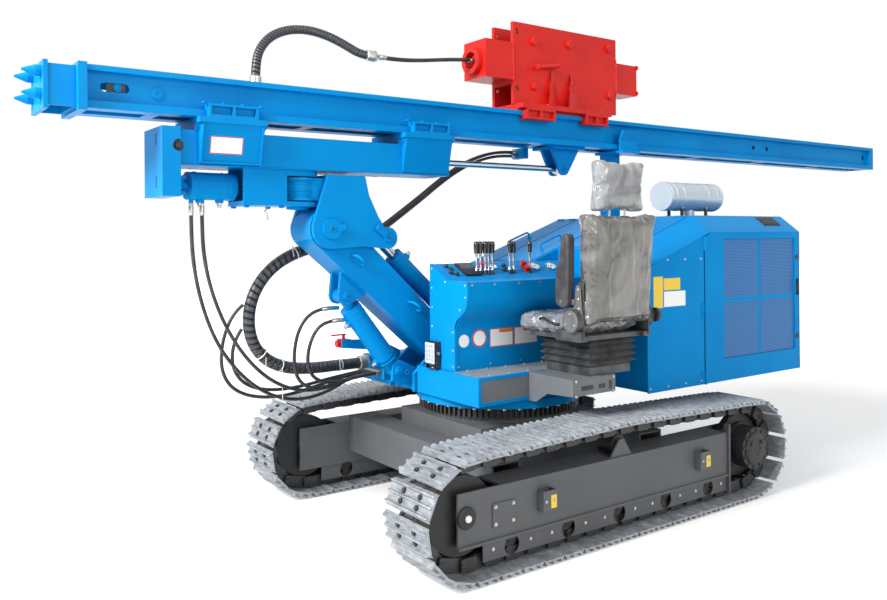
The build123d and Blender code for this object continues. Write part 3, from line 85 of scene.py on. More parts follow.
# camera, at the front left corner of the machine
cameraLook = {"place": (slewX + 3.239, 3.962, 1.600), "heading": 234.51, "pitch": 0.04, "roll": -0.42,
              "lens": 33.67, "shift": (0.0015, -0.0727)}
lens = bpy.data.cameras.new("camera")
lens.lens = cameraLook["lens"]
lens.sensor_width = 36.0
lens.shift_x, lens.shift_y = cameraLook["shift"]
camera = placed("camera", lens)
heading, pitch = radians(cameraLook["heading"]), radians(cameraLook["pitch"])
ahead = Vector((cos(heading) * cos(pitch), sin(heading) * cos(pitch), sin(pitch)))
roll = Matrix.Rotation(radians(cameraLook["roll"]), 4, "Z")
aim = ahead.to_track_quat("-Z", "Y").to_matrix().to_4x4() @ roll
camera.matrix_world = Matrix.Translation(cameraLook["place"]) @ aim
bpy.context.scene.camera = camera
bpy.context.scene.view_settings.view_transform = "Standard"

# hoses: diameters, and the radius of a control point, which the tube is scaled by
hoseLook = {"thin": 0.020, "wrapped": 0.070, "wrappedPair": 0.050, "pointRadius": 0.02}
# control points in mm, X from the slewing axis
feedRoute = [(-560, -464, 2168), (-440, -464, 2168), (-300, -464, 2146), (-160, -465, 2100), (-20, -466, 2030),
             (115, -467, 1942), (245, -468, 1848), (375, -469, 1760), (500, -470, 1676), (620, -470, 1600),
             (725, -470, 1558),
             (800, -470, 1558)]
hammerRoute = [(688, -260, 2664), (592, -260, 2664), (474, -262, 2670), (350, -262, 2684), (225, -262, 2703),
               (104, -260, 2718),
               (30, -260, 2725), (-39, -260, 2725)]
routes = {
    "swivel_hose_front": ("hose_swivel", "thin", [
        (1812, -264, 1766), (1812, -264, 1645), (1800, -276, 1488), (1768, -292, 1325), (1718, -310, 1172),
        (1650, -332, 1030), (1556, -358, 902), (1440, -394, 790), (1304, -434, 704), (1156, -470, 655),
        (1006, -498, 650), (866, -512, 683), (750, -517, 734), (650, -518, 760), (565, -518, 760)]),
    "swivel_hose_rear": ("hose_swivel", "thin", [
        (1755, -264, 1766), (1755, -264, 1652), (1744, -271, 1502), (1708, -282, 1345), (1650, -298, 1195),
        (1572, -320, 1055), (1474, -348, 928), (1356, -384, 820), (1222, -422, 742), (1080, -456, 700),
        (935, -480, 698), (800, -489, 724), (690, -490, 750), (622, -490, 760), (565, -490, 760)]),
    "branch_hose_long": ("hose_branch", "thin", [
        (1452, -470, 1224), (1500, -474, 1185), (1545, -484, 1095), (1570, -494, 985), (1568, -504, 872),
        (1524, -512, 776),
        (1436, -520, 712), (1320, -526, 680), (1190, -532, 672), (1060, -538, 686), (930, -542, 712),
        (800, -545, 738), (690, -545, 752), (622, -546, 760), (565, -546, 760)]),
    "branch_hose_short": ("hose_branch", "thin", [
        (1461, -470, 1089), (1488, -478, 1045), (1508, -496, 965), (1496, -518, 868), (1440, -538, 784),
        (1350, -554, 732), (1240, -564, 708), (1120, -570, 704), (1000, -573, 714), (880, -575, 732),
        (770, -575, 744), (680, -573, 755), (615, -574, 760), (565, -574, 760)]),
    "lift_hose_high": ("hose_lift", "thin", [
        (1000, -300, 1190), (1060, -300, 1190), (1135, -318, 1150), (1180, -334, 1070), (1196, -350, 975),
        (1192, -368, 880), (1164, -388, 795), (1108, -404, 740), (1030, -422, 714), (940, -440, 716),
        (850, -453, 732), (765, -460, 746), (682, -461, 755), (615, -462, 760), (565, -462, 760)]),
    "lift_hose_low": ("hose_lift", "thin", [
        (955, -262, 1122), (1018, -262, 1122), (1084, -279, 1090), (1119, -302, 1012), (1128, -326, 925),
        (1110, -352, 845), (1062, -376, 785), (990, -398, 750), (905, -416, 738), (820, -428, 744),
        (735, -432, 752), (660, -434, 757), (605, -434, 760), (565, -434, 760)]),
    "hose_bundle_wrapped": ("hose_bundle", "wrapped", [
        (830, -470, 1558), (945, -470, 1558), (1080, -470, 1525), (1212, -470, 1472), (1325, -470, 1385),
        (1400, -470, 1265), (1425, -470, 1130), (1398, -472, 998), (1315, -478, 900), (1195, -492, 845),
        (1062, -518, 822), (930, -556, 812), (812, -602, 806), (715, -634, 799), (640, -652, 797), (565, -652, 797)]),
    "feed_hose_1": ("hose_feed", "thin", [(x, y - 14, z + 12) for x, y, z in feedRoute]),
    "feed_hose_2": ("hose_feed", "thin", [(x, y + 14, z + 12) for x, y, z in feedRoute]),
    "feed_hose_3": ("hose_feed", "thin", [(x, y, z - 14) for x, y, z in feedRoute]),
    "mast_loop_wrapped": ("hose_upper", "wrappedPair", [
        (1457, -260, 2422), (1457, -260, 2522), (1434, -264, 2618), (1366, -267, 2700), (1262, -269, 2750),
        (1142, -270, 2766), (1022, -269, 2750), (908, -267, 2712), (806, -261, 2664), (718, -260, 2664)]),
    "hammer_hose_1": ("hose_upper", "thin", [(x, y - 13, z) for x, y, z in hammerRoute]),
    "hammer_hose_2": ("hose_upper", "thin", [(x, y + 13, z) for x, y, z in hammerRoute]),
}


def lineLength(curve):
    # length of a curve's own line, with no tube round it
    bevel = curve.data.bevel_depth
    curve.data.bevel_depth = 0.0
    points = [v.co.copy() for v in evaluated(curve).vertices]
    curve.data.bevel_depth = bevel
    return sum((b - a).length for a, b in zip(points, points[1:])), points


hoses, hoseLines = {}, {}
for name, (node, size, route) in routes.items():
    data = bpy.data.curves.new(name, "CURVE")
    data.dimensions = "3D"
    data.resolution_u = 10
    spline = data.splines.new("NURBS")
    spline.points.add(len(route) - 1)
    for point, place in zip(spline.points, route):
        point.co = (*at(*place), 1.0)
        point.radius = hoseLook["pointRadius"]
    spline.order_u = 3
    spline.use_endpoint_u = True
    data.bevel_depth = hoseLook[size] / 2 / hoseLook["pointRadius"]
    data.bevel_resolution = 4
    data.use_fill_caps = True
    hose = placed(name, data)
    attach(hose, "mast" if node == "hose_upper" else "upper")
    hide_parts(node)
    length, hoseLines[name] = lineLength(hose)
    hoses[name] = hose
    print(name, round(length, 3))


def fromHex(code):
    # sRGB hex to linear colour
    parts = [int(code[i:i + 2], 16) / 255 for i in (1, 3, 5)]
    return [c / 12.92 if c <= 0.04045 else ((c + 0.055) / 1.055) ** 2.4 for c in parts] + [1.0]


def feed(node, inputs):
    # each input is linked to a socket or to a node's first output in use, or set to a value
    for key, value in inputs.items():
        if isinstance(value, bpy.types.Node):
            value = next(s for s in value.outputs if s.enabled)
        if isinstance(value, bpy.types.NodeSocket):
            node.id_data.links.new(value, node.inputs[key])
        else:
            node.inputs[key].default_value = value


def addNode(tree, kind, inputs=None, **settings):
    # a node with its settings and inputs; a kind that doesn't say is a shader node
    node = tree.nodes.new(kind if "Node" in kind else "ShaderNode" + kind)
    for key, value in settings.items():
        setattr(node, key, value)
    feed(node, inputs or {})
    return node


def maths(tree, operation, *values):
    return addNode(tree, "Math", dict(enumerate(values)), operation=operation)


def newMaterial(name):
    material = bpy.data.materials.new(name)
    material.use_nodes = True
    tree = material.node_tree
    tree.nodes.clear()
    shader = addNode(tree, "BsdfPrincipled")
    addNode(tree, "OutputMaterial", {"Surface": shader})
    place = addNode(tree, "TexCoord").outputs["Object"]
    return material, tree, shader, place


def rampOf(tree, value, stops):
    # a colour ramp; a stop's colour is sRGB hex or a linear colour
    ramp = addNode(tree, "ValToRGB", {"Fac": value})
    marks = ramp.color_ramp.elements
    while len(marks) < len(stops):
        marks.new(0.5)
    for mark, (share, colour) in zip(marks, stops):
        mark.position = share
        mark.color = fromHex(colour) if isinstance(colour, str) else colour
    return ramp


def dimmed(colour, factor):
    return [min(1.0, c * factor) for c in colour[:3]] + [1.0]


def looks(columns, rows):
    # a look for each name, from a table and its headings
    return {name: dict(zip(columns.split(), row)) for name, row in rows.items()}


# two-pack enamel sprayed on welded plate: an even colour with slow drift, dust on what looks up, soft plate edges
# dustShare: how much dust shows; spec and coat: how strongly it mirrors
paints = looks("base light dark dust dustShare rough spec coat", {
    "blueEnamel": ("#0084C8", "#0093D6", "#0072B4", "#9FB4C4", 0.015, 0.3, 0.04, 0.015),
    "greyEnamel": ("#666B70", "#767B80", "#565B5F", "#A8A296", 0.14, 0.45, 0.3, 0.05),
    "frameGreyEnamel": ("#56595D", "#66696D", "#44474B", "#857F76", 0.22, 0.5, 0.3, 0.0),
    "blackEnamel": ("#1D1F21", "#2A2C2F", "#131416", "#6E6A64", 0.14, 0.42, 0.35, 0.05),
    "redEnamel": ("#C8140E", "#DB2A18", "#A60E0A", "#C9A79A", 0.05, 0.36, 0.22, 0.12),
})


def makePaint(name, look):
    material, tree, shader, place = newMaterial(name)
    drift = addNode(tree, "TexNoise", {"Vector": place, "Scale": 2.2, "Detail": 3.0, "Roughness": 0.6})
    tone = rampOf(tree, drift, [(0.3, look["dark"]), (0.5, look["base"]), (0.75, look["light"])])
    calm = addNode(tree, "Mix", {"Factor": 0.4, "A": fromHex(look["base"]), "B": tone}, data_type="RGBA")
    # dust lies in patches about 60 mm across
    facing = addNode(tree, "NewGeometry")
    upward = addNode(tree, "SeparateXYZ", {"Vector": facing.outputs["Normal"]})
    patch = addNode(tree, "TexNoise", {"Vector": place, "Scale": 16.0, "Detail": 5.0, "Roughness": 0.65})
    rising = addNode(tree, "MapRange", {"Value": upward.outputs["Z"], "From Min": -0.2, "From Max": 1.0,
                                        "To Min": 0.12, "To Max": 1.0})
    settled = maths(tree, "MULTIPLY", rising, patch)
    share = maths(tree, "MULTIPLY", settled, look["dustShare"] * 2.0)
    dusted = addNode(tree, "Mix", {"Factor": share, "A": calm, "B": fromHex(look["dust"])}, data_type="RGBA")
    gloss = addNode(tree, "MapRange", {"Value": patch, "To Min": look["rough"] - 0.06,
                                       "To Max": look["rough"] + 0.16})
    # orange peel about 5 mm across over plate edges softened by 2.5 mm
    peel = addNode(tree, "TexNoise", {"Vector": place, "Scale": 190.0, "Detail": 1.0})
    soft = addNode(tree, "Bevel", {"Radius": 0.0025}, samples=4)
    bump = addNode(tree, "Bump", {"Height": peel, "Strength": 0.05, "Distance": 0.001, "Normal": soft})
    feed(shader, {"Base Color": dusted, "Roughness": gloss, "Normal": bump, "Specular IOR Level": look["spec"],
                  "Coat Weight": look["coat"], "Coat Roughness": 0.15})
    return material


# bare and coated metals: fine lines pulled along one axis, as the tool or the rolling left them
metals = looks("colour rough lines stretch metallic contrast", {
    "hardChrome": ("#C9CCCE", 0.1, 60.0, (1.0, 6.0, 6.0), 1.0, 1.0),
    "turnedSteel": ("#8E9092", 0.32, 220.0, (1.0, 1.0, 4.0), 1.0, 1.0),
    "zincPlate": ("#C4C2B6", 0.33, 90.0, (1.0, 1.0, 1.0), 0.9, 1.0),
    "aluminisedSheet": ("#BFC9D0", 0.38, 30.0, (0.2, 2.0, 2.0), 0.5, 0.25),
    "treadPlateSteel": ("#A9ACAC", 0.5, 26.0, (1.0, 1.0, 1.0), 0.5, 1.0),
    "wornShoeSteel": ("#A3A8AD", 0.45, 40.0, (1.0, 0.5, 2.0), 0.35, 1.5),
    "chainSteel": ("#4A4A4B", 0.5, 50.0, (1.0, 1.0, 1.0), 0.6, 1.0),
})


def makeMetal(name, look):
    material, tree, shader, place = newMaterial(name)
    pulled = addNode(tree, "Mapping", {"Vector": place, "Scale": look["stretch"]})
    lines = addNode(tree, "TexNoise", {"Vector": pulled, "Scale": look["lines"], "Detail": 5.0, "Roughness": 0.65})
    broad = addNode(tree, "TexNoise", {"Vector": place, "Scale": 7.0, "Detail": 3.0})
    base, contrast, rough = fromHex(look["colour"]), look["contrast"], look["rough"]
    tone = rampOf(tree, lines, [(0.35, dimmed(base, 1 - 0.28 * contrast)), (0.65, dimmed(base, 1 + 0.2 * contrast))])
    stain = rampOf(tree, broad, [(0.35, dimmed(base, 1 - 0.4 * contrast)), (0.7, base)])
    mixed = addNode(tree, "Mix", {"Factor": 0.3, "A": tone, "B": stain}, data_type="RGBA")
    spread = addNode(tree, "MapRange", {"Value": lines, "To Min": max(0.03, rough - 0.08), "To Max": rough + 0.12})
    bump = addNode(tree, "Bump", {"Height": lines, "Strength": 0.15 * contrast, "Distance": 0.0006})
    feed(shader, {"Base Color": mixed, "Roughness": spread, "Metallic": look["metallic"], "Normal": bump})
    return material


# moulded plastic and rubber: even colour, pebble grain, a little grey bloom; grain in metres
plastics = looks("colour rough grain strength bloom coat", {
    "blackPlastic": ("#1A1B1C", 0.46, 0.0022, 0.3, 0.1, 0.0),
    "hoseRubber": ("#17181A", 0.48, 0.003, 0.25, 0.1, 0.1),
    "bellowsRubber": ("#303234", 0.42, 0.004, 0.2, 0.2, 0.15),
    "knobPhenolic": ("#0F1011", 0.22, 0.004, 0.05, 0.05, 0.5),
    "whiteNylon": ("#E8E8E4", 0.4, 0.003, 0.1, 0.05, 0.0),
    "labelVinylYellow": ("#E6C21A", 0.4, 0.01, 0.05, 0.05, 0.3),
    "labelVinylWhite": ("#ECEEEE", 0.4, 0.01, 0.05, 0.02, 0.3),
    "labelVinylRed": ("#C8392B", 0.4, 0.01, 0.05, 0.03, 0.3),
    "labelVinylOrange": ("#D9762C", 0.4, 0.01, 0.05, 0.03, 0.3),
    "displayGlass": ("#15181B", 0.16, 0.01, 0.0, 0.03, 0.6),
    "armrestVinyl": ("#302E2E", 0.5, 0.0016, 0.35, 0.15, 0.0),
    "reclinerGrey": ("#5F5E5E", 0.45, 0.002, 0.25, 0.1, 0.0),
})


def makePlastic(name, look):
    material, tree, shader, place = newMaterial(name)
    grain = addNode(tree, "TexVoronoi", {"Vector": place, "Scale": 1.0 / look["grain"]})
    bloom = addNode(tree, "TexNoise", {"Vector": place, "Scale": 14.0, "Detail": 4.0})
    base, rough = fromHex(look["colour"]), look["rough"]
    greyed = [c + (0.35 - c) * look["bloom"] for c in base[:3]] + [1.0]
    tone = rampOf(tree, bloom, [(0.4, base), (0.8, greyed)])
    spread = addNode(tree, "MapRange", {"Value": bloom, "To Min": rough - 0.08, "To Max": rough + 0.1})
    bump = addNode(tree, "Bump", {"Height": grain, "Strength": look["strength"], "Distance": 0.0006})
    feed(shader, {"Base Color": tone, "Roughness": spread, "Normal": bump, "Coat Weight": look["coat"]})
    return material


# black vinyl under loose clear packing film: dark, with milky folds, and sharp creases whose tops are painted near
# white as a painted highlight
films = looks("deep veil glint haze stretch creases", {
    "filmedVinyl": ("#66676A", "#A9ABAC", "#F2F2F0", "#C4C7C8", (1.0, 1.0, 0.6), 11.0),
    "filmedSeatBack": ("#4A4947", "#7F7C78", "#DAD7D0", "#928F8A", (1.0, 1.0, 0.25), 8.5),
})


def makeFilmedVinyl(name, look):
    material, tree, shader, place = newMaterial(name)
    swirl = addNode(tree, "TexNoise", {"Vector": place, "Scale": 5.0, "Detail": 3.0, "Distortion": 1.0})
    pulled = addNode(tree, "Mapping", {"Vector": place, "Scale": look["stretch"]})
    crease = addNode(tree, "TexNoise", {"Vector": pulled, "Scale": look["creases"], "Detail": 5.0, "Roughness": 0.6,
                                        "Distortion": 0.9}, noise_type="RIDGED_MULTIFRACTAL")
    # the lightest stop is a painted highlight on the crease tops, over the film's milky veil; on the seat back the
    # creases run long and upright as painted streaks of highlight
    tone = rampOf(tree, crease, [(0.25, look["deep"]), (0.6, look["veil"]), (0.95, look["glint"])])
    haze = rampOf(tree, swirl, [(0.38, look["deep"]), (0.62, look["haze"])])
    mixed = addNode(tree, "Mix", {"Factor": 0.42, "A": tone, "B": haze}, data_type="RGBA")
    bump = addNode(tree, "Bump", {"Height": crease, "Strength": 1.0, "Distance": 0.010})
    feed(shader, {"Base Color": mixed, "Roughness": 0.26, "Coat Weight": 1.0, "Coat Roughness": 0.06, "Normal": bump})
    return material


def makeSpiralWrap(name, turns=52.0):
    # hoses under a spiral guard band 28 mm wide: its edges are painted as slanting dark lines of shade along the
    # tube, and the middle of each turn is painted lighter as a highlight
    material, tree, shader, place = newMaterial(name)
    along = addNode(tree, "UVMap")
    apart = addNode(tree, "SeparateXYZ", {"Vector": along})
    lead = maths(tree, "MULTIPLY", apart.outputs["X"], turns)
    slant = maths(tree, "ADD", lead, apart.outputs["Y"])
    band = maths(tree, "FRACT", slant)
    # painted shade at the band's edges, painted highlight across the middle of each turn
    tone = rampOf(tree, band, [(0.0, "#0B0C0D"), (0.2, "#2E3033"), (0.55, "#4A4C50"), (0.85, "#26282B"),
                               (1.0, "#0B0C0D")])
    low, high = (0, 0, 0, 1), (1, 1, 1, 1)
    height = rampOf(tree, band, [(0.0, low), (0.15, high), (0.85, high), (1.0, low)])
    bump = addNode(tree, "Bump", {"Height": height, "Strength": 1.0, "Distance": 0.009})
    feed(shader, {"Base Color": tone, "Normal": bump, "Roughness": 0.42})
    return material


def makeLampLens(name, perMetre=70.0):
    # moulded acrylic lens of a lamp with rows of white chips behind it, 14 mm apart
    material, tree, shader, place = newMaterial(name)
    chips = addNode(tree, "TexVoronoi", {"Vector": place, "Scale": perMetre, "Randomness": 0.0})
    tone = rampOf(tree, chips, [(0.1, "#F4F8FF"), (0.45, "#B9C4D2"), (0.8, "#8D99A8")])
    feed(shader, {"Base Color": tone, "Roughness": 0.15, "Coat Weight": 0.8})
    return material


finishes = {"spiralWrap": makeSpiralWrap("spiralWrap"), "lampLens": makeLampLens("lampLens")}
for make, table in ((makePaint, paints), (makeMetal, metals), (makePlastic, plastics), (makeFilmedVinyl, films)):
    finishes.update({name: make(name, look) for name, look in table.items()})
for name, hose in hoses.items():
    hose.data.materials.append(finishes["spiralWrap" if "wrapped" in name else "hoseRubber"])
print("finishes ready")

# finish of every part of the frame
finishOf = {
    "chainSteel": ["track_left", "track_right"],
    "frameGreyEnamel": ["track_frame_left", "track_frame_right", "cross_frame"],
    "blackEnamel": ["bottom_rollers", "carrier_rollers", "idlers", "sprockets_and_drives", "slew_ring", "engine"],
    "turnedSteel": ["tilt_pin"],
    "hardChrome": ["tilt_rod", "swivel_rod", "slide_rod"],
    "blueEnamel": ["deck", "boom_bracket", "console", "side_panel_left", "side_panel_right", "grille_door",
                   "rear_panel", "roof",
                   "hood_lid_far", "hood_lid_middle", "hood_lid_near", "front_wall", "mast_rest", "boom",
                   "lift_barrel", "lift_rod",
                   "tilt_barrel", "head", "head_pin", "carrier", "swivel_barrel", "slide_barrel", "mast", "mast_foot",
                   "valve_bracket"],
    "greyEnamel": ["seat_arm"],
    "redEnamel": ["hammer_frame", "breaker", "shut_off_valve"],
    "bellowsRubber": ["seat_base"],
    "filmedVinyl": ["seat_cushion", "headrest"],
    "filmedSeatBack": ["seat_back"],
    "blackPlastic": ["armrests", "levers", "worklight"],
    "aluminisedSheet": ["muffler"],
}
for finish, nodes in finishOf.items():
    for node in nodes:
        piece = frame["nodes"][node]
        for slot in piece.material_slots:
            slot.material = finishes[finish]
        if not piece.material_slots:
            piece.data.materials.append(finishes[finish])
print("frame finished")

# shapes: each call adds to a bmesh, sizes in metres


def block(shape, low, high):
    made = bmesh.ops.create_cube(shape, size=1.0)["verts"]
    size = [h - l for l, h in zip(low, high)]
    for v in made:
        v.co = Vector([l + (c + 0.5) * s for c, l, s in zip(v.co, low, size)])


def rod(shape, start, end, radius, sides=20, tip=None, caps=True):
    way = Vector(end) - Vector(start)
    made = bmesh.ops.create_cone(shape, cap_ends=caps, segments=sides, radius1=radius,
                                 radius2=radius if tip is None else tip, depth=way.length)["verts"]
    place = Matrix.Translation((Vector(start) + Vector(end)) / 2) @ way.to_track_quat("Z", "Y").to_matrix().to_4x4()
    bmesh.ops.transform(shape, matrix=place, verts=made)


def ringOf(shape, place, radius, height, sides):
    # a ring of points round the Z axis of place
    corners = [(radius * cos(2 * pi * i / sides), radius * sin(2 * pi * i / sides), height) for i in range(sides)]
    return [shape.verts.new(place @ Vector(corner)) for corner in corners]


def band(shape, low, high):
    # faces between two rings with as many points each
    for i in range(len(low)):
        k = (i + 1) % len(low)
        shape.faces.new((low[i], low[k], high[k], high[i]))


def turned(shape, base, way, profile, sides=24):
    # a lathe profile of (radius, height) rows round an axis
    way = Vector(way).normalized()
    place = Matrix.Translation(base) @ way.to_track_quat("Z", "Y").to_matrix().to_4x4()
    rings = []
    for radius, height in profile:
        if radius < 1e-6:
            rings.append([shape.verts.new(place @ Vector((0, 0, height)))])
        else:
            rings.append(ringOf(shape, place, radius, height, sides))
    for low, high in zip(rings, rings[1:]):
        for i in range(sides):
            a, b = low[i % len(low)], low[(i + 1) % len(low)]
            c, d = high[(i + 1) % len(high)], high[i % len(high)]
            corners = [v for k, v in enumerate((a, b, c, d)) if v not in (a, b, c, d)[:k]]
            if len(corners) > 2:
                shape.faces.new(corners)
    for ring, flip in ((rings[0], True), (rings[-1], False)):
        if len(ring) > 1:
            shape.faces.new(ring[::-1] if flip else ring)


def extruded(shape, outline, way):
    # a flat outline pushed along way
    way = Vector(way)
    near = [shape.verts.new(Vector(p)) for p in outline]
    far = [shape.verts.new(Vector(p) + way) for p in outline]
    shape.faces.new(near[::-1])
    shape.faces.new(far)
    band(shape, near, far)


def bentRod(shape, points, radius, sides=10):
    # a round bar through the points, mitred at its corners
    points = [Vector(p) for p in points]
    rings = []
    for i, p in enumerate(points):
        before = (p - points[i - 1]).normalized() if i else None
        after = (points[i + 1] - p).normalized() if i + 1 < len(points) else None
        way = (before or after) if not (before and after) else (before + after).normalized()
        if rings:
            side = (side - way * side.dot(way)).normalized()
        else:
            side = way.to_track_quat("Z", "Y").to_matrix().col[0].copy()
        other = way.cross(side)
        turns = [2 * pi * k / sides for k in range(sides)]
        rings.append([shape.verts.new(p + (side * cos(t) + other * sin(t)) * radius) for t in turns])
    for low, high in zip(rings, rings[1:]):
        band(shape, low, high)
    shape.faces.new(rings[0][::-1])
    shape.faces.new(rings[-1])


sharpFrom = radians(35)      # edges that turn more than this stay sharp


def meshOf(name, shape):
    # the finished shape as a mesh, normals outwards
    bmesh.ops.recalc_face_normals(shape, faces=shape.faces)
    mesh = bpy.data.meshes.new(name)
    shape.to_mesh(mesh)
    shape.free()
    return mesh


def settle(piece, body):
    # smooth faces with sharp edges, on the body that carries the piece
    piece.data.shade_smooth()
    piece.data.set_sharp_from_angle(angle=sharpFrom)
    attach(piece, body)
    return piece


def newPiece(name, shape, finish, body, soften=0.0):
    # one piece; soften is the width that its edges are rounded by
    piece = placed(name, meshOf(name, shape))
    piece.data.materials.append(finishes[finish])
    if soften:
        bevel = piece.modifiers.new("softEdges", "BEVEL")
        bevel.width = soften
        bevel.segments = 2
        bevel.limit_method = "ANGLE"
        bevel.angle_limit = radians(40)
    return settle(piece, body)


def makeSetDown():
    # sets one shape down at every spot, turned as the spot's own turn says, with a small random turn
    tree = bpy.data.node_groups.new("setDown", "GeometryNodeTree")
    for kind, label in (("Geometry", "Spots"), ("Object", "Shape"), ("Float", "Turn Spread"), ("Int", "Seed"),
                        ("Material", "Finish"), ("Geometry", "Mesh")):
        side = "OUTPUT" if label == "Mesh" else "INPUT"
        tree.interface.new_socket(label, in_out=side, socket_type="NodeSocket" + kind)
    entry = addNode(tree, "NodeGroupInput")
    facing = addNode(tree, "GeometryNodeInputNamedAttribute", {"Name": "turn"}, data_type="FLOAT_VECTOR")
    size = addNode(tree, "GeometryNodeInputNamedAttribute", {"Name": "size"}, data_type="FLOAT")
    chance = addNode(tree, "FunctionNodeRandomValue", {0: (0, 0, -1), 1: (0, 0, 1), "Seed": entry.outputs["Seed"]},
                     data_type="FLOAT_VECTOR")
    turnBy = addNode(tree, "VectorMath", {0: chance, "Scale": entry.outputs["Turn Spread"]}, operation="SCALE")
    shape = addNode(tree, "GeometryNodeObjectInfo", {"Object": entry.outputs["Shape"]}).outputs["Geometry"]
    local = addNode(tree, "FunctionNodeEulerToRotation", {0: turnBy})
    down = addNode(tree, "GeometryNodeInstanceOnPoints", {"Points": entry.outputs["Spots"], "Instance": shape,
                                                          "Rotation": facing, "Scale": size})
    spun = addNode(tree, "GeometryNodeRotateInstances", {"Instances": down, "Rotation": local})
    real = addNode(tree, "GeometryNodeRealizeInstances", {"Geometry": spun})
    dressed = addNode(tree, "GeometryNodeSetMaterial", {"Geometry": real, "Material": entry.outputs["Finish"]})
    addNode(tree, "NodeGroupOutput", {"Mesh": dressed})
    return tree


setDown = makeSetDown()


def repeated(name, shape, spots, finish, body, turnSpread=0.0, seed=1):
    # spots: rows of place, direction that the shape's +Z takes, direction of its +X or None, size
    mesh = bpy.data.meshes.new(name + "_spots")
    mesh.from_pydata([tuple(s[0]) for s in spots], [], [])
    mesh.attributes.new("turn", "FLOAT_VECTOR", "POINT")
    mesh.attributes.new("size", "FLOAT", "POINT")
    turns, sizes = mesh.attributes["turn"], mesh.attributes["size"]
    for i, (place, up, side, size) in enumerate(spots):
        up = Vector(up).normalized()
        if side is None:
            basis = up.to_track_quat("Z", "Y").to_matrix()
        else:
            side = (Vector(side) - up * Vector(side).dot(up)).normalized()
            basis = Matrix((side, up.cross(side), up)).transposed()
        turns.data[i].vector = basis.to_euler()
        sizes.data[i].value = size
    holder = placed(name + "_holder", mesh)
    modifier = holder.modifiers.new("setDown", "NODES")
    modifier.node_group = setDown
    values = {"Shape": shape, "Turn Spread": turnSpread, "Seed": seed, "Finish": finishes[finish]}
    for item in setDown.interface.items_tree:
        if item.item_type == "SOCKET" and item.in_out == "INPUT" and item.name in values:
            modifier[item.identifier] = values[item.name]
    made = evaluated(holder)
    bpy.data.objects.remove(holder)
    made.name = name
    return settle(placed(name, made), body)


def pattern(name, shape):
    # the one shape that is set down; taken away at the end
    piece = placed(name, meshOf(name, shape))
    patterns.append(piece)
    return piece


patterns = []
shape = bmesh.new()
turned(shape, (0, 0, 0), (0, 0, 1), [(1.15, 0.0), (1.15, 0.14)], 14)
turned(shape, (0, 0, 0.14), (0, 0, 1), [(0.86, 0.0), (1.0, 0.03), (1.0, 0.5), (0.82, 0.62)], 6)
hexBolt = pattern("hexBolt", shape)              # hexagon 2 across its corners, on a washer
shape = bmesh.new()
turned(shape, (0, 0, 0), (0, 0, 1), [(1.0, 0.0), (1.0, 0.25), (0.8, 0.42), (0.45, 0.5)], 12)
roundBolt = pattern("roundBolt", shape)          # low button head, radius 1

# tracks: steel shoes bolted to a chain of links, one round every 135 mm
trackLook = {"shoeWidth": 0.350, "pitch": 0.135, "plate": 0.010, "grouser": 0.020, "linkHeight": 0.070,
             "gauge": 1.634, "boltSize": 0.0125}
wheelZ, pinRadius = 0.300, 0.235
idlerX, sprocketX, carrierX = slewX + 0.938, slewX - 1.222, slewX - 0.120
peak = (carrierX, 0.628 - 0.065)


def trackPins():
    # the pins of the closed chain, even steps round the idler, the carrier roller and the sprocket
    def lead(centre, side):
        dx, dz = peak[0] - centre[0], peak[1] - centre[1]
        return atan2(dz, dx) + side * (pi / 2 - atan2(pinRadius, sqrt(dx * dx + dz * dz - pinRadius ** 2)))
    front, rear = (idlerX, wheelZ), (sprocketX, wheelZ)
    leadFront, leadRear = lead(front, -1), lead(rear, 1)
    onFront = (front[0] + pinRadius * cos(leadFront), front[1] + pinRadius * sin(leadFront))
    onRear = (rear[0] + pinRadius * cos(leadRear), rear[1] + pinRadius * sin(leadRear))
    runs = [("line", (rear[0], wheelZ - pinRadius), (front[0], wheelZ - pinRadius)),
            ("arc", front, -pi / 2, leadFront),
            ("line", onFront, peak), ("line", peak, onRear), ("arc", rear, leadRear, 3 * pi / 2)]
    lengths = [hypot(r[2][0] - r[1][0], r[2][1] - r[1][1]) if r[0] == "line" else pinRadius * (r[3] - r[2]) for r in runs]
    total = sum(lengths)
    count = round(total / trackLook["pitch"])
    pins = []
    for i in range(count):
        s = total * i / count
        for run, length in zip(runs, lengths):
            if s <= length:
                break
            s -= length
        share = s / length
        if run[0] == "line":
            pins.append((run[1][0] + share * (run[2][0] - run[1][0]), run[1][1] + share * (run[2][1] - run[1][1])))
        else:
            a = run[2] + share * (run[3] - run[2])
            pins.append((run[1][0] + pinRadius * cos(a), run[1][1] + pinRadius * sin(a)))
    return pins


def shoeShape():
    # one shoe: +X along the track, +Z out; curled edges, three grousers
    shape = bmesh.new()
    half, rail = trackLook["shoeWidth"] / 2 - 0.0005, trackLook["linkHeight"] / 2
    top = rail + trackLook["plate"]
    tip = top + trackLook["grouser"] - 0.0006
    profile = [(-0.0625, rail - 0.004), (-0.0655, rail - 0.003), (-0.060, top - 0.001)]
    for middle in (-0.0486, 0.0, 0.0486):
        profile += [(middle - 0.009, top), (middle - 0.0035, tip), (middle + 0.0035, tip), (middle + 0.009, top)]
    profile += [(0.060, top - 0.001), (0.0655, rail - 0.003), (0.0625, rail - 0.004), (0.056, rail + 0.0005),
                (-0.056, rail + 0.0005)]
    ends = [-half, -half + 0.012, half - 0.012, half]
    rows = []
    for k, y in enumerate(ends):
        drop = 0.006 if k in (0, 3) else 0.0
        rows.append([shape.verts.new((x, y, z - (drop if z > top + 0.001 else 0.0))) for x, z in profile])
    for low, high in zip(rows, rows[1:]):
        band(shape, low, high)
    shape.faces.new(rows[0][::-1])
    shape.faces.new(rows[-1])
    return shape


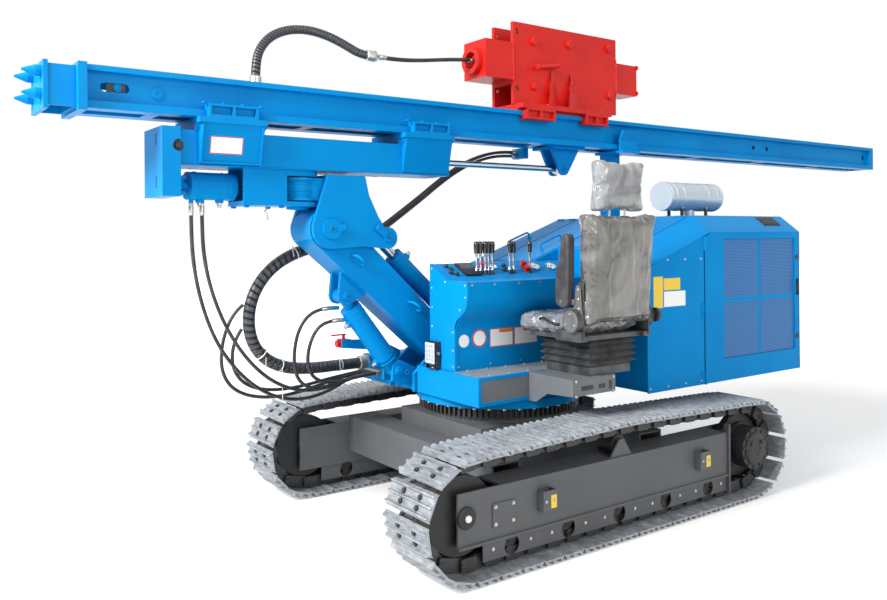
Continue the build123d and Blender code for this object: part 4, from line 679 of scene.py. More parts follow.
def linkShape():
    # two link rails with their bosses, the pin and its bush
    shape = bmesh.new()
    rail, pitch = trackLook["linkHeight"] / 2, trackLook["pitch"]
    side = [(-0.046, -rail + 0.006), (-0.036, -rail), (0.036, -rail), (0.046, -rail + 0.006),
            (0.046, rail - 0.012), (0.034, rail), (-0.034, rail), (-0.046, rail - 0.012)]
    for sign in (1, -1):
        for y0, shift in ((0.036, -0.25), (0.052, 0.25)):
            extruded(shape, [(shift * pitch + dx, sign * y0, dz) for dx, dz in side], (0, sign * 0.013, 0))
    rod(shape, (-pitch / 2, -0.069, 0), (-pitch / 2, 0.069, 0), 0.016, 12)
    rod(shape, (-pitch / 2, -0.035, 0), (-pitch / 2, 0.035, 0), 0.025, 14)
    return shape


pins = trackPins()
shoe, link = pattern("shoe", shoeShape()), pattern("link", linkShape())
for side, y in (("left", trackLook["gauge"] / 2), ("right", -trackLook["gauge"] / 2)):
    spots, bolts = [], []
    for a, b in zip(pins, pins[1:] + pins[:1]):
        along = Vector((b[0] - a[0], 0, b[1] - a[1])).normalized()
        out = Vector((along.z, 0, -along.x))
        middle = Vector(((a[0] + b[0]) / 2, y, (a[1] + b[1]) / 2))
        spots.append((middle, out, along, 1.0))
        for dx in (-0.0243, 0.0243):
            for dy in (-0.066, 0.066):
                lift = out * (trackLook["linkHeight"] / 2 + trackLook["plate"])
                bolts.append((middle + along * dx + Vector((0, dy, 0)) + lift, out, along, trackLook["boltSize"]))
    for name, single, finish in (("track_shoes_", shoe, "wornShoeSteel"), ("track_chain_", link, "chainSteel")):
        loop = repeated(name + side, single, spots, finish, "undercarriage")
        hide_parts("track_" + side)
    repeated("shoe_bolts_" + side, hexBolt, bolts, "chainSteel", "undercarriage", 0.5, 3)
print("tracks", len(pins), "shoes each")

# undercarriage: cover plates, grease slots, hubs, sprocket teeth and bolts
frameLook = {"bolt": 0.0085, "stepBolt": 0.007, "driveBolt": 0.0095, "driveBolts": 12, "teeth": 11, "rollers": 5}
bolts, big = [], []
shape, hubs, caps = bmesh.new(), bmesh.new(), bmesh.new()
for sign in (1, -1):
    y = sign * trackLook["gauge"] / 2
    face = y + sign * 0.0904
    out = (0, sign, 0)
    # cover plate over the track adjuster, with a bolt at each corner
    x0, x1, z0, z1 = slewX + 0.642, slewX + 0.783, 0.221, 0.335
    block(shape, (x0, min(face, face + sign * 0.006), z0), (x1, max(face, face + sign * 0.006), z1))
    for x in (x0 + 0.016, x1 - 0.016):
        for z in (z0 + 0.016, z1 - 0.016):
            bolts.append(((x, face + sign * 0.006, z), out, None, frameLook["bolt"]))
    # grease slot near the front
    turned(shape, (slewX + 0.918, face, 0.278), out, [(0.030, 0.0), (0.030, 0.004), (0.020, 0.005), (0.018, 0.0015)],
           22)
    # bolts of the roller shafts, two below the ledge between the rollers
    for i in range(frameLook["rollers"] + 1):
        for dx in (-0.07, 0.07):
            x = slewX + 0.657 + 0.1875 - i * 0.375 + dx
            if slewX - 1.0 < x < slewX + 0.83:
                bolts.append(((x, face - sign * 0.0064, 0.118), out, None, frameLook["bolt"]))
    for i in range(frameLook["rollers"]):
        x = slewX + 0.657 - i * 0.375
        turned(hubs, (x, y + sign * 0.0785, 0.1623), out,
               [(0.036, 0.0), (0.036, 0.004), (0.022, 0.0075), (0.018, 0.0075)], 20)
    # idler's hub with a pale grease cap, outside the frame's front end
    turned(hubs, (idlerX, y + sign * 0.0905, wheelZ), out, [(0.052, 0.0), (0.052, 0.010), (0.040, 0.016)], 26)
    turned(caps, (idlerX, y + sign * 0.1062, wheelZ), out, [(0.017, 0.0), (0.017, 0.008), (0.010, 0.014)], 18)
    # final drive's cover: a stepped lid, twelve bolts round it and two plugs
    lid = y + sign * 0.143
    turned(hubs, (sprocketX, lid, wheelZ), out, [(0.098, 0.0), (0.098, 0.006), (0.088, 0.011), (0.040, 0.011),
                                                 (0.036, 0.007)], 40)
    for i in range(frameLook["driveBolts"]):
        a = 2 * pi * i / frameLook["driveBolts"] + 0.13
        big.append(((sprocketX + 0.112 * cos(a), lid, wheelZ + 0.112 * sin(a)), out, None, frameLook["driveBolt"]))
    for dx, dz in ((-0.05, 0.035), (0.05, 0.035)):
        big.append(((sprocketX + dx, lid + sign * 0.0114, wheelZ + dz), out, None, 0.012))
    # sprocket's teeth between the links
    root, tip = 0.176, 0.1955
    for i in range(frameLook["teeth"]):
        a = 2 * pi * i / frameLook["teeth"]
        points = [(sprocketX + r * cos(a + da), y - 0.020, wheelZ + r * sin(a + da))
                  for da, r in ((-0.13, root), (-0.06, tip), (0.06, tip), (0.13, root))]
        extruded(hubs, points, (0, 0.040, 0))
    # end plate's bolts and steps
    for z in (0.12, 0.24, 0.36):
        bolts.append(((slewX - 1.034, y + sign * 0.086, z), (-1, 0, 0), None, frameLook["bolt"]))
    for stepX in (slewX + 0.456, slewX - 0.753):
        for dx in (-0.028, 0.028):
            bolts.append(((stepX + dx, y + sign * 0.1404, 0.30), out, None, frameLook["stepBolt"]))
newPiece("adjuster_covers", shape, "frameGreyEnamel", "undercarriage", 0.0015)
newPiece("wheel_hubs", hubs, "blackEnamel", "undercarriage", 0.0015)
newPiece("idler_caps", caps, "whiteNylon", "undercarriage", 0.001)
repeated("frame_bolts", hexBolt, bolts, "zincPlate", "undercarriage", turnSpread=0.5, seed=5)
repeated("drive_bolts", hexBolt, big, "blackEnamel", "undercarriage", turnSpread=0.5, seed=6)

# slewing ring: toothed edge and its bolts, under the deck
ringLook = {"teeth": 92, "toothAt": 0.4765, "bolts": 36, "boltsAt": 0.4865, "bolt": 0.0105}
shape = bmesh.new()
block(shape, (-0.007, -0.006, -0.026), (0.007, 0.008, 0.026))
tooth = pattern("ringTooth", shape)
spots = []
for i in range(ringLook["teeth"]):
    a = 2 * pi * i / ringLook["teeth"]
    out = Vector((cos(a), sin(a), 0))
    spots.append((Vector((slewX, 0, 0.606)) + out * ringLook["toothAt"], (0, 0, 1), out.cross(Vector((0, 0, 1))),
                  1.0))
repeated("ring_teeth", tooth, spots, "blackEnamel", "undercarriage")
spots = []
for i in range(ringLook["bolts"]):
    a = 2 * pi * (i + 0.5) / ringLook["bolts"]
    r = ringLook["boltsAt"]
    spots.append(((slewX + r * cos(a), r * sin(a), 0.6339), (0, 0, -1), None, ringLook["bolt"]))
repeated("ring_bolts", hexBolt, spots, "zincPlate", "upper", turnSpread=0.5, seed=7)
print("undercarriage dressed")

# console: edge bolts, gauges, display, switches, blank labels
consoleLook = {"bolt": 0.0062, "gauge": 0.036, "strokes": 11, "lampRows": 4, "lampColumns": 3, "fins": 7}
leverSpots = [(x, 120) for x in (255, 225, 190, 165, 135, 0, -30, -160)]     # X and Y of each lever
panelUp = Vector((0, 90, 172)).normalized()
panelSide = Vector((1, 0, 0))


def onPanel(x, share, lift=0.0):
    # a point on the sloping instrument panel: share 0 at its low edge, 1 at its high edge
    return at(x, 172 * (1 - share), 1348 + 90 * share) + panelUp * lift


def onDial(angle):
    # the direction of a gauge's stroke, in degrees
    return panelSide * cos(radians(angle)) + panelUp.cross(panelSide) * sin(radians(angle))


spots = []
for y, heights in ((20, (1412, 1300, 1190, 1080, 970, 868)), (150, (1340,)), (338, (1326, 1262)), (290, (1190,)),
                   (222, (1062, 960, 868))):
    spots += [(at(505, y, z), (1, 0, 0), None, consoleLook["bolt"]) for z in heights]
for x in (470, 310, 130, -30, -195, -360, -490):
    spots.append((at(x, 358, 1328), (0, 1, 0), None, consoleLook["bolt"]))
for x in (480, 250, 20, -210, -440):
    spots.append((at(x, 240, 866), (0, 1, 0), None, consoleLook["bolt"]))
for x in (480, 330, 180, 30, -120, -270, -420):
    spots.append((onPanel(x, 0.965), panelUp, None, consoleLook["bolt"] * 0.8))
repeated("console_bolts", roundBolt, spots, "zincPlate", "upper")

shape = bmesh.new()
# rolled edge of the end sheet
sheetEdge = [(0, 1438), (172, 1348), (358, 1344), (358, 1250), (240, 1075), (240, 843)]
for (y0, z0), (y1, z1) in zip(sheetEdge, sheetEdge[1:]):
    way = Vector((0, y1 - y0, z1 - z0)).normalized()
    out = Vector((0, -way.z, way.y))
    a, b = at(505, y0, z0), at(505, y1, z1)
    extruded(shape, [a, b, b + out * 0.0025, a + out * 0.0025], (-0.022, 0, 0))
newPiece("console_edge", shape, "blueEnamel", "upper", soften=0.0006)

shape, rims, reds, glass, whites = [bmesh.new() for i in range(5)]
for x, share, size in ((-241, 0.60, 1.0), (-379, 0.58, 1.0), (83, 0.66, 0.72)):
    base = onPanel(x, share)
    r = consoleLook["gauge"] * size
    turned(rims, base, panelUp, [(r * 1.12, 0.0), (r * 1.12, 0.008), (r * 1.02, 0.012), (r * 0.94, 0.012),
                                 (r * 0.94, 0.008)], 32)
    turned(whites, base + panelUp * 0.0082, panelUp, [(r * 0.93, 0.0), (r * 0.93, 0.0006)], 32)
    # scale strokes and a needle on the dial
    for k in range(consoleLook["strokes"]):
        way = onDial(225 - 27 * k)
        p = base + panelUp * 0.0089 + way * r * 0.78
        bentRod(shape, [p - way * r * 0.10, p + way * r * 0.08], r * 0.022, 6)
    way = onDial(200)
    bentRod(shape, [base + panelUp * 0.0098, base + panelUp * 0.0098 + way * r * 0.66], r * 0.03, 6)
    turned(shape, base + panelUp * 0.0088, panelUp, [(r * 0.12, 0.0), (r * 0.12, 0.002)], 14)
newPiece("gauge_rims", rims, "hardChrome", "upper", soften=0.0006)
newPiece("gauge_dials", whites, "labelVinylWhite", "upper")
# display with a raised bezel
for part, x0, x1, low, high, lift, thick in ((shape, 345, 232, 0.20, 0.88, 0.001, 0.014),
                                             (glass, 335, 242, 0.27, 0.81, 0.0152, 0.0008)):
    corners = ((x0, low), (x1, low), (x1, high), (x0, high))
    extruded(part, [onPanel(x, share, lift) for x, share in corners], panelUp * thick)
newPiece("display_glass", glass, "displayGlass", "upper")
# keys beside the display, rocker switches, sockets for the levers
for x, share in ((415, 0.78), (400, 0.62), (425, 0.40), (398, 0.30), (-9, 0.72), (20, 0.45), (205, 0.45)):
    turned(shape, onPanel(x, share), panelUp, [(0.016, 0.0), (0.016, 0.003), (0.010, 0.004), (0.010, 0.016),
                                               (0.008, 0.019)], 18)
for x, y in leverSpots:
    turned(shape, at(x, y, 1375), (0, 0, 1), [(0.014, -0.004), (0.014, 0.006), (0.010, 0.014), (0.0085, 0.022)], 18)
newPiece("console_fittings", shape, "blackPlastic", "upper", soften=0.0004)
for x, share in ((-153, 0.66), (-137, 0.36), (170, 0.70)):
    turned(reds, onPanel(x, share), panelUp, [(0.019, 0.0), (0.019, 0.006), (0.010, 0.007), (0.010, 0.018),
                                              (0.020, 0.024), (0.020, 0.034), (0.015, 0.039)], 22)
newPiece("console_buttons", reds, "redEnamel", "upper", soften=0.0005)
# lever stems in bright steel, moulded knobs
stems, knobs = bmesh.new(), bmesh.new()
for x, y in leverSpots:
    turned(stems, at(x, y, 1392), (0, 0, 1), [(0.0085, 0.0), (0.0085, 0.004), (0.0074, 0.006), (0.0074, 0.098),
                                              (0.0085, 0.100), (0.0085, 0.106)], 14)
    turned(knobs, at(x, y, 1497), (0, 0, 1), [(0.0125, 0.0), (0.0135, 0.006), (0.0150, 0.030), (0.0158, 0.052),
                                              (0.0140, 0.064), (0.0085, 0.070)], 20)
newPiece("lever_stems", stems, "hardChrome", "upper")
newPiece("lever_knobs", knobs, "knobPhenolic", "upper")

# blank label places on the console's lower face: a round plate, a red-rimmed one, and two red-edged plates with
# an orange head
plates, edges, heads, yellows = [bmesh.new() for i in range(4)]
turned(plates, at(440, 240.2, 1010), (0, 1, 0), [(0.036, 0.0), (0.036, 0.0006)], 30)
turned(edges, at(330, 240.2, 1018), (0, 1, 0), [(0.052, 0.0), (0.052, 0.0005)], 36)
turned(plates, at(330, 240.7, 1018), (0, 1, 0), [(0.043, 0.0), (0.043, 0.0004)], 36)
for x0, x1, z0, z1 in ((255, 80, 960, 1066), (72, -110, 960, 1064)):
    block(edges, at(x1, 240.2, z0), at(x0, 240.7, z1))
    block(plates, at(x1 + 5, 240.7, z0 + 5), at(x0 - 5, 241.0, z1 - 5))
    block(heads, at(x1 + 6, 241.0, z1 - 26), at(x0 - 70, 241.3, z1 - 6))
# machine side: two yellow plates and a white one
for part, x0, x1, z0, z1 in ((plates, -860, -665, 1172, 1262), (yellows, -655, -572, 1168, 1352),
                             (yellows, -812, -662, 1270, 1340)):
    block(part, at(x0, sideY, z0), at(x1, sideY + 0.5, z1))
for name, part, colour in (("blank_labels", plates, "White"), ("label_edges", edges, "Red"),
                           ("label_heads", heads, "Orange"), ("yellow_labels", yellows, "Yellow")):
    newPiece(name, part, "labelVinyl" + colour, "upper")

# worklight: lens, lamp cups, fins and its bracket
shape = bmesh.new()
block(shape, at(547, 14, 874), at(551.5, 106, 992))
newPiece("worklight_lens", shape, "lampLens", "upper", soften=0.003)
shape = bmesh.new()
for i in range(consoleLook["lampRows"]):
    for k in range(consoleLook["lampColumns"]):
        p = at(551.6, 34 + 26 * k, 895 + 25.5 * i)
        turned(shape, p, (1, 0, 0), [(0.0105, 0.0), (0.0105, 0.0016), (0.0085, 0.0016), (0.005, 0.0004)], 14)
newPiece("worklight_cups", shape, "aluminisedSheet", "upper")
shape = bmesh.new()
for i in range(consoleLook["fins"]):
    block(shape, at(506, 18, 884 + 15 * i), at(546, 110.5, 889 + 15 * i))
for y in (8, 112):
    block(shape, at(515, y - 3, 842), at(540, y + 1, 942))
block(shape, at(512, 6, 841), at(543, 113, 846))
newPiece("worklight_bracket", shape, "blackPlastic", "upper", soften=0.0008)
spots = [(at(527, 113, 933), (0, 1, 0), None, 0.009), (at(527, 5, 933), (0, -1, 0), None, 0.009),
         (at(527, 60, 846), (0, 0, 1), None, 0.009)]
repeated("worklight_bolts", hexBolt, spots, "zincPlate", "upper")
print("console ready")

# deck: tread plate where the operator steps, dark panel in a frame below it, seat console
shape = bmesh.new()
block(shape, at(-150, 242, 840.6), at(512, 466, 843.5))
block(shape, at(-505, 242, 840.6), at(-152, 474, 843.5))
newPiece("deck_tread", shape, "treadPlateSteel", "upper", soften=0.0006)
shape = bmesh.new()
block(shape, at(172, 475, 706), at(506, 476.8, 822))
newPiece("deck_panel", shape, "greyEnamel", "upper")
shape = bmesh.new()
block(shape, at(172, 475.5, 684), at(524, 480, 706))
block(shape, at(506, 475.5, 706), at(524, 480, 840))
block(shape, at(172, 475.5, 822), at(506, 480, 840))
newPiece("deck_frame", shape, "blueEnamel", "upper", soften=0.0015)
# black plates in the seat box's slots: painted shade inside them
shape = bmesh.new()
for x0, x1 in ((-70, -20), (20, 108)):
    block(shape, at(x0, 824.5, 778), at(x1, 826.2, 802))
block(shape, at(-120, 826, 768), at(-100, 828, 812))
newPiece("seat_box_slots", shape, "blackPlastic", "upper", soften=0.0006)
spots = [(at(x, 826, z), (0, 1, 0), None, 0.007) for x, z in ((-132, 752), (-132, 830), (150, 752), (150, 830))]
spots += [(at(x, y, 843.5), (0, 0, 1), None, 0.007) for x in (-130, 10, 150, 290, 430) for y in (256, 452)]
repeated("deck_bolts", hexBolt, spots, "zincPlate", "upper")

# engine housing: hinges, latch, screws, perforated sheet behind the door's opening
housingLook = {"holePitch": 0.011, "holeShare": 0.36, "screw": 0.0062}
perforated, tree, shader, place = newMaterial("perforatedBlueSheet")
# round holes in staggered rows, painted dark inside as the shade behind the sheet, blue between them
parts = addNode(tree, "SeparateXYZ", {0: place})
rowOf = maths(tree, "DIVIDE", parts.outputs["Z"], housingLook["holePitch"] * 0.87)
rowNumber = maths(tree, "FLOOR", rowOf)
rowShift = maths(tree, "MULTIPLY", rowNumber, 0.5)
columnOf = maths(tree, "DIVIDE", parts.outputs["X"], housingLook["holePitch"])
column = maths(tree, "ADD", columnOf, rowShift)
u, v = maths(tree, "FRACT", column), maths(tree, "FRACT", rowOf)
cell = addNode(tree, "CombineXYZ", {"X": u, "Y": v, "Z": 0.0})
away = addNode(tree, "VectorMath", {0: cell, 1: (0.5, 0.5, 0.0)}, operation="DISTANCE")
edge = housingLook["holeShare"]
hole = addNode(tree, "MapRange", {"Value": away, "From Min": edge - 0.04, "From Max": edge + 0.04})
mix = addNode(tree, "Mix", {"Factor": hole, "A": fromHex("#0B2A44"), "B": fromHex("#0079C6")}, data_type="RGBA")
feed(shader, {"Base Color": mix, "Roughness": 0.45})
finishes["perforatedBlueSheet"] = perforated
shape = bmesh.new()
for x0, x1 in ((-2023, -1635), (-1607, -1240)):
    for z0, z1 in ((816, 1168), (1196, 1567)):
        block(shape, at(x0, 727.2, z0), at(x1, 728.2, z1))
newPiece("grille_sheet", shape, "perforatedBlueSheet", "grille_door")
shape = bmesh.new()
for z in (720, 1130, 1540):
    rod(shape, at(-1045, 741, z - 45), at(-1045, 741, z + 45), 0.009, 14)
    block(shape, at(-1043, 735.8, z - 40), at(-1012, 739.5, z + 40))
newPiece("door_hinges", shape, "blueEnamel", "upper", soften=0.0008)
shape = bmesh.new()
for z in (900, 1440):
    turned(shape, at(-2048, 735.5, z), (0, 1, 0), [(0.017, 0.0), (0.017, 0.004), (0.011, 0.006), (0.011, 0.0045)], 22)
block(shape, at(-2056, 739, 1180), at(-2040, 752, 1290))
block(shape, at(-2056, 735.5, 1186), at(-2040, 742, 1198))
block(shape, at(-2056, 735.5, 1272), at(-2040, 742, 1284))
newPiece("door_latch", shape, "blackPlastic", "grille_door", soften=0.0012)
print("housing ready")

# hood: bar handles on the lids, hinge knuckles, vent on the near chamfer, muffler's seams, straps, feet and their
# bolts
hoodLook = {"handleBar": 0.007, "handleRise": 0.045, "slope": 0.3576, "mufflerY": 200, "mufflerZ": 1862}
mufflerBands = (-1700, -1440)


def onHood(x, y, lift=0.0, over=4):
    # a point on the sloping lids, over mm above their sheet, then lifted square to it
    way = Vector((hoodLook["slope"], 0, 1)).normalized()
    return at(x, y, 1416 + hoodLook["slope"] * (-250 - x) + over) + way * lift


rise = hoodLook["handleRise"]
for name, x0, y in (("far", -520, -490), ("middle", -470, -110), ("near", -640, 500)):
    shape, x1 = bmesh.new(), x0 - 180
    bar = [(x0, -0.001), (x0, rise - 0.012), (x0 - 5, rise - 0.003), (x0 - 14, rise),
           (x1 + 14, rise), (x1 + 5, rise - 0.003), (x1, rise - 0.012), (x1, -0.001)]
    bentRod(shape, [onHood(x, y, lift) for x, lift in bar], hoodLook["handleBar"], 12)
    for x in (x0, x1):
        turned(shape, onHood(x, y), (hoodLook["slope"], 0, 1), [(0.017, -0.001), (0.017, 0.004), (0.010, 0.006)], 18)
    newPiece("handle_" + name, shape, "blueEnamel", "hood_lid_" + name)
shape = bmesh.new()
for y in (-550, -430, -320, -80, 80, 530):
    p = onHood(-1064, y, over=6)
    rod(shape, p - Vector((0, 0.03, 0)), p + Vector((0, 0.03, 0)), 0.007, 12)
newPiece("lid_hinges", shape, "blueEnamel", "upper")

chamferOut = Vector((0, 108, 140)).normalized()


def onChamfer(x, share, lift=0.0):
    # a point on the roof's sloping edge: share 0 at its low side, 1 at its high side
    return at(x, 736 - 140 * share, 1612 + 108 * share) + chamferOut * lift


shape = bmesh.new()
extruded(shape, [onChamfer(x, share) for x, share in ((-1950, 0.38), (-1760, 0.38), (-1760, 0.92), (-1950, 0.92))],
         chamferOut * 0.003)
for i in range(7):
    x = -1938 + i * 25
    a, b = onChamfer(x, 0.45, 0.003), onChamfer(x, 0.86, 0.003)
    wide = Vector((0.011, 0, 0))
    extruded(shape, [a, a + wide, b + wide, b], chamferOut * 0.006 + Vector((-0.004, 0, 0)))
newPiece("roof_vent", shape, "blackPlastic", "upper", soften=0.0006)

shape = bmesh.new()
for x in (-1836, -1788, -1352, -1304):
    turned(shape, at(x - 5, hoodLook["mufflerY"], hoodLook["mufflerZ"]), (1, 0, 0),
           [(0.0978, 0.0), (0.1005, 0.002), (0.1005, 0.008), (0.0978, 0.010)], 56)
for x in mufflerBands:
    turned(shape, at(x - 14, hoodLook["mufflerY"], hoodLook["mufflerZ"]), (1, 0, 0),
           [(0.0978, 0.0), (0.0995, 0.0005), (0.0995, 0.0275), (0.0978, 0.028)], 56)
newPiece("muffler_seams", shape, "aluminisedSheet", "upper")
shape = bmesh.new()
for x in mufflerBands:
    for y0, y1, z1 in ((140, 148, 1800), (252, 260, 1800), (120, 280, 1726)):
        block(shape, at(x - 14, y0, 1720), at(x + 14, y1, z1))
newPiece("muffler_feet", shape, "blackEnamel", "upper", soften=0.001)
spots = [(at(x, y, 1726), (0, 0, 1), None, 0.009) for x in mufflerBands for y in (128, 272)]
spots += [(at(x, 260, 1786), (0, 1, 0), None, 0.008) for x in mufflerBands]
repeated("muffler_bolts", hexBolt, spots, "zincPlate", "upper")
spots = []
for x in (-540, -700, -860, -1010):
    for z in (700, 1405 if x > -600 else 1450):
        spots.append((at(x, sideY, z), (0, 1, 0), None, housingLook["screw"]))
for z in (760, 960, 1160, 1360, 1560):
    spots.append((at(-2084, 700, z), (-1, 0, 0), None, housingLook["screw"]))
repeated("housing_screws", roundBolt, spots, "zincPlate", "upper")


def pinEnd(steel, holes, spots, place, out, radius, keeperWay, reach, tall=0.020):
    # the end of a pin: a keeper plate held by a bolt, where reach isn't 0, and a grease hole in the middle
    place, out, way = Vector(place), Vector(out), Vector(keeperWay).normalized()
    across = out.cross(way)
    if reach:
        a, b = place + way * (radius - 0.012), place + way * reach
        extruded(steel, [a - across * tall, b - across * tall, b + across * tall, a + across * tall], out * 0.008)
        spots.append((place + way * (reach - 0.014) + out * 0.008, tuple(out), None, 0.010))
    turned(steel, place, out, [(radius * 0.30, 0.0), (radius * 0.30, 0.004), (radius * 0.16, 0.004),
                               (radius * 0.16, 0.001)], 20)
    turned(holes, place, out, [(radius * 0.12, 0.0), (radius * 0.12, 0.0045), (radius * 0.07, 0.006)], 12)


boomWay = Vector((cos(radians(42.2)), 0, sin(radians(42.2))))
pinSets = {"head": [(at(1079, -101, 1644), (0, 1, 0), 0.058, (-1, 0, 0.1), 0.085),
                    (at(1079, -419, 1644), (0, -1, 0), 0.058, (-1, 0, 0.1), 0.085),
                    (at(713.3, -101, 1591.9), (0, 1, 0), 0.040, (0.8, 0, 0.62), 0.110)],
           "boom": [(at(944, -181, 1262), (0, 1, 0), 0.044, (1, 0, 0.3), 0.0),
                    (at(105.8, -183, 1041), (0, 1, 0), 0.022, (1, 0, 0), 0.0)],
           "upper": [(at(190, -109, 838), (0, 1, 0), 0.056, (1, 0, 0), 0.082),
                     (at(591, -115, 806), (0, 1, 0), 0.056, (1, 0, 0.2), 0.082),
                     (at(591, -405, 806), (0, -1, 0), 0.056, (1, 0, 0.2), 0.082)],
           "mast": [(at(-766, -188, 2058), (0, 1, 0), 0.040, (0.5, 0, -1), 0.0)]}
for body, rows in pinSets.items():
    steel, holes, spots = bmesh.new(), bmesh.new(), []
    for place, out, radius, way, reach in rows:
        pinEnd(steel, holes, spots, place, out, radius, way, reach)
    newPiece("pin_plates_" + body, steel, "blueEnamel", body, soften=0.0012)
    newPiece("grease_points_" + body, holes, "chainSteel", body)
    if spots:
        repeated("keeper_bolts_" + body, hexBolt, spots, "blueEnamel", body, turnSpread=0.4, seed=5)

# boom: open rings that guide the hoses, welded on its side
shape = bmesh.new()
for x, z in ((904, 1468), (527, 1187)):
    middle = at(x, -146, z)
    turns = [pi * k / 14 for k in range(15)]
    arc = [boomWay * 0.042 * cos(t) + Vector((0, 0.052 * sin(t) + 0.018 * (sin(t) > 0.3), 0)) for t in turns]
    bentRod(shape, [middle + p for p in arc], 0.008, 10)
newPiece("hose_rings", shape, "blueEnamel", "boom")


def collar(shape, base, way, inner, outer, depth, sides=48):
    # a hollow ring round an axis
    turn = Vector(way).normalized().to_track_quat("Z", "Y").to_matrix()
    turns, rings = [2 * pi * i / sides for i in range(sides)], []
    for radius, height in ((inner, 0.0), (outer, 0.002), (outer, depth - 0.002), (inner, depth)):
        corners = [Vector((radius * cos(t), radius * sin(t), height)) for t in turns]
        rings.append([shape.verts.new(Vector(base) + turn @ corner) for corner in corners])
    for low, high in zip(rings, rings[1:] + rings[:1]):
        band(shape, low, high)


# cylinders: end rings on the barrels, a port with its fitting near each end
liftWay = Vector((353, 0, 456)).normalized()
swivelWay = Vector((-515, -38, 0)).normalized()
for name, base, way, out, radius, end in (
        ("lift", at(591, middleY, 806), liftWay, liftWay.cross(Vector((0, -1, 0))), 0.062, 0.490),
        ("tilt", at(105.8, middleY, 1041), boomWay, boomWay.cross(Vector((0, 1, 0))), 0.056, 0.660),
        ("swivel", at(1880, middleY, 1868), swivelWay, Vector((0, 0, -1)), 0.072, 0.298)):
    shape, zinc = bmesh.new(), bmesh.new()
    for s in (end - 0.034, end - 0.006 - 0.060):
        collar(shape, base + way * s, way, radius - 0.002, radius + 0.0022, 0.006)
    collar(shape, base + way * 0.078, way, radius - 0.002, radius + 0.003, 0.012)
    up = out.normalized()
    for s in (0.115, end - 0.075):
        p = base + way * s + up * (radius - 0.004)
        turned(shape, p, up, [(0.022, 0.0), (0.022, 0.016), (0.018, 0.018)], 20)
        turned(zinc, p + up * 0.0182, up, [(0.0145, 0.0), (0.0145, 0.012)], 6)
        turned(zinc, p + up * 0.0302, up, [(0.010, 0.0), (0.010, 0.012)], 16)
    newPiece(name + "_barrel_rings", shape, "blueEnamel", name + "_barrel", soften=0.0006)
    newPiece(name + "_ports", zinc, "zincPlate", name + "_barrel")

# carrier: nut behind its hand hole, clamp bolts, blank label, weld beads
shape = bmesh.new()
turned(shape, at(1921, -131, 2058), (0, 1, 0), [(0.0285, 0.0), (0.0285, 0.004)], 30)
newPiece("carrier_nut_washer", shape, "blackEnamel", "carrier")
repeated("carrier_nut", hexBolt, [(at(1921, -127, 2058), (0, 1, 0), None, 0.018)], "blackEnamel", "carrier")
spots = []
for x0, x1 in ((1471, 1830), (262, 620)):
    for y in (middleY - 172, middleY + 172):
        for k in range(4):
            x = x0 + 28 + (x1 - x0 - 56) * k / 3
            spots.append((at(x, y, 2272), (0, 0, 1), None, 0.011))
for x in (1352, 1550):
    for y in (-350, -170):
        spots.append((at(x, y, 1768), (0, 0, -1), None, 0.014))
repeated("carrier_bolts", hexBolt, spots, "blueEnamel", "carrier", turnSpread=0.5, seed=8)


clampOut = Vector((0, 0.975, -0.221))


def onClamp(x, z, lift=0.0):
    # a point on the leaning face under the front clamp
    return at(x, -80 - (2165 - z) * 0.2263, z) + clampOut * lift


# blank label with a red edge
for name, colour, inset, lift in (("carrier_label", "White", 5, 0.0006), ("carrier_label_edge", "Red", 0, 0.0)):
    shape = bmesh.new()
    x0, x1, z0, z1 = 1594 + inset, 1768 - inset, 2024 + inset, 2112 - inset
    extruded(shape, [onClamp(x, z, lift) for x, z in ((x1, z1), (x1, z0), (x0, z0), (x0, z1))], clampOut * 0.0005)
    newPiece(name, shape, "labelVinyl" + colour, "carrier")
# ribs that frame the leaning face
shape = bmesh.new()
for x in (1488, 1804):
    rib = ((2166, -0.002), (1976, -0.002), (1976, 0.010), (2166, 0.016))
    extruded(shape, [onClamp(x, z, lift) for z, lift in rib], (0.012, 0, 0))
rib = ((1488, -0.002), (1816, -0.002), (1816, 0.010), (1488, 0.010))
extruded(shape, [onClamp(x, 1976, lift) for x, lift in rib], (0, 0, 0.010))
newPiece("clamp_ribs", shape, "blueEnamel", "carrier", soften=0.0015)
# plates stacked round the swivel knuckle
shape = bmesh.new()
for z in (1834, 1852, 1884):
    collar(shape, at(1215, middleY, z), (0, 0, 1), 0.098, 0.1045, 0.012, 56)
newPiece("knuckle_plates", shape, "blueEnamel", "head")


def weld(shape, start, end, size=0.004, seed=1):
    # a bead of weld: overlapping ripples along a seam
    start, end = Vector(start), Vector(end)
    count = max(3, int((end - start).length / 0.022))
    way = (end - start) / count
    for i in range(count):
        wobble = 0.85 + 0.3 * ((i * 37 + seed * 11) % 17) / 17
        a = start + way * i
        rod(shape, a, a + way * 0.98, size * wobble, 6, tip=size * wobble * 0.8, caps=False)


shape = bmesh.new()
for y in (-135, -385):
    weld(shape, at(622, y, 1967), at(1900, y, 1967))
    weld(shape, at(1912, y, 1967), at(1912, y, 2138), seed=3)
for x in (1471, 1830, 262, 620):
    weld(shape, at(x, -135, 2140), at(x, -90, 2174), 0.0035, 4)
for y in (-150, -370):
    weld(shape, at(1328, y, 1966), at(1573, y, 1966), 0.005, 2)
newPiece("carrier_welds", shape, "blueEnamel", "carrier")
shape = bmesh.new()
for y in (-148, -372):
    for z in (2243, 2383):
        weld(shape, at(-4700, y, z), at(2340, y, z), 0.0035, 6)
weld(shape, at(2353, -146, 2210), at(2353, -146, 2408), 0.006, 7)
newPiece("mast_welds", shape, "blueEnamel", "mast")

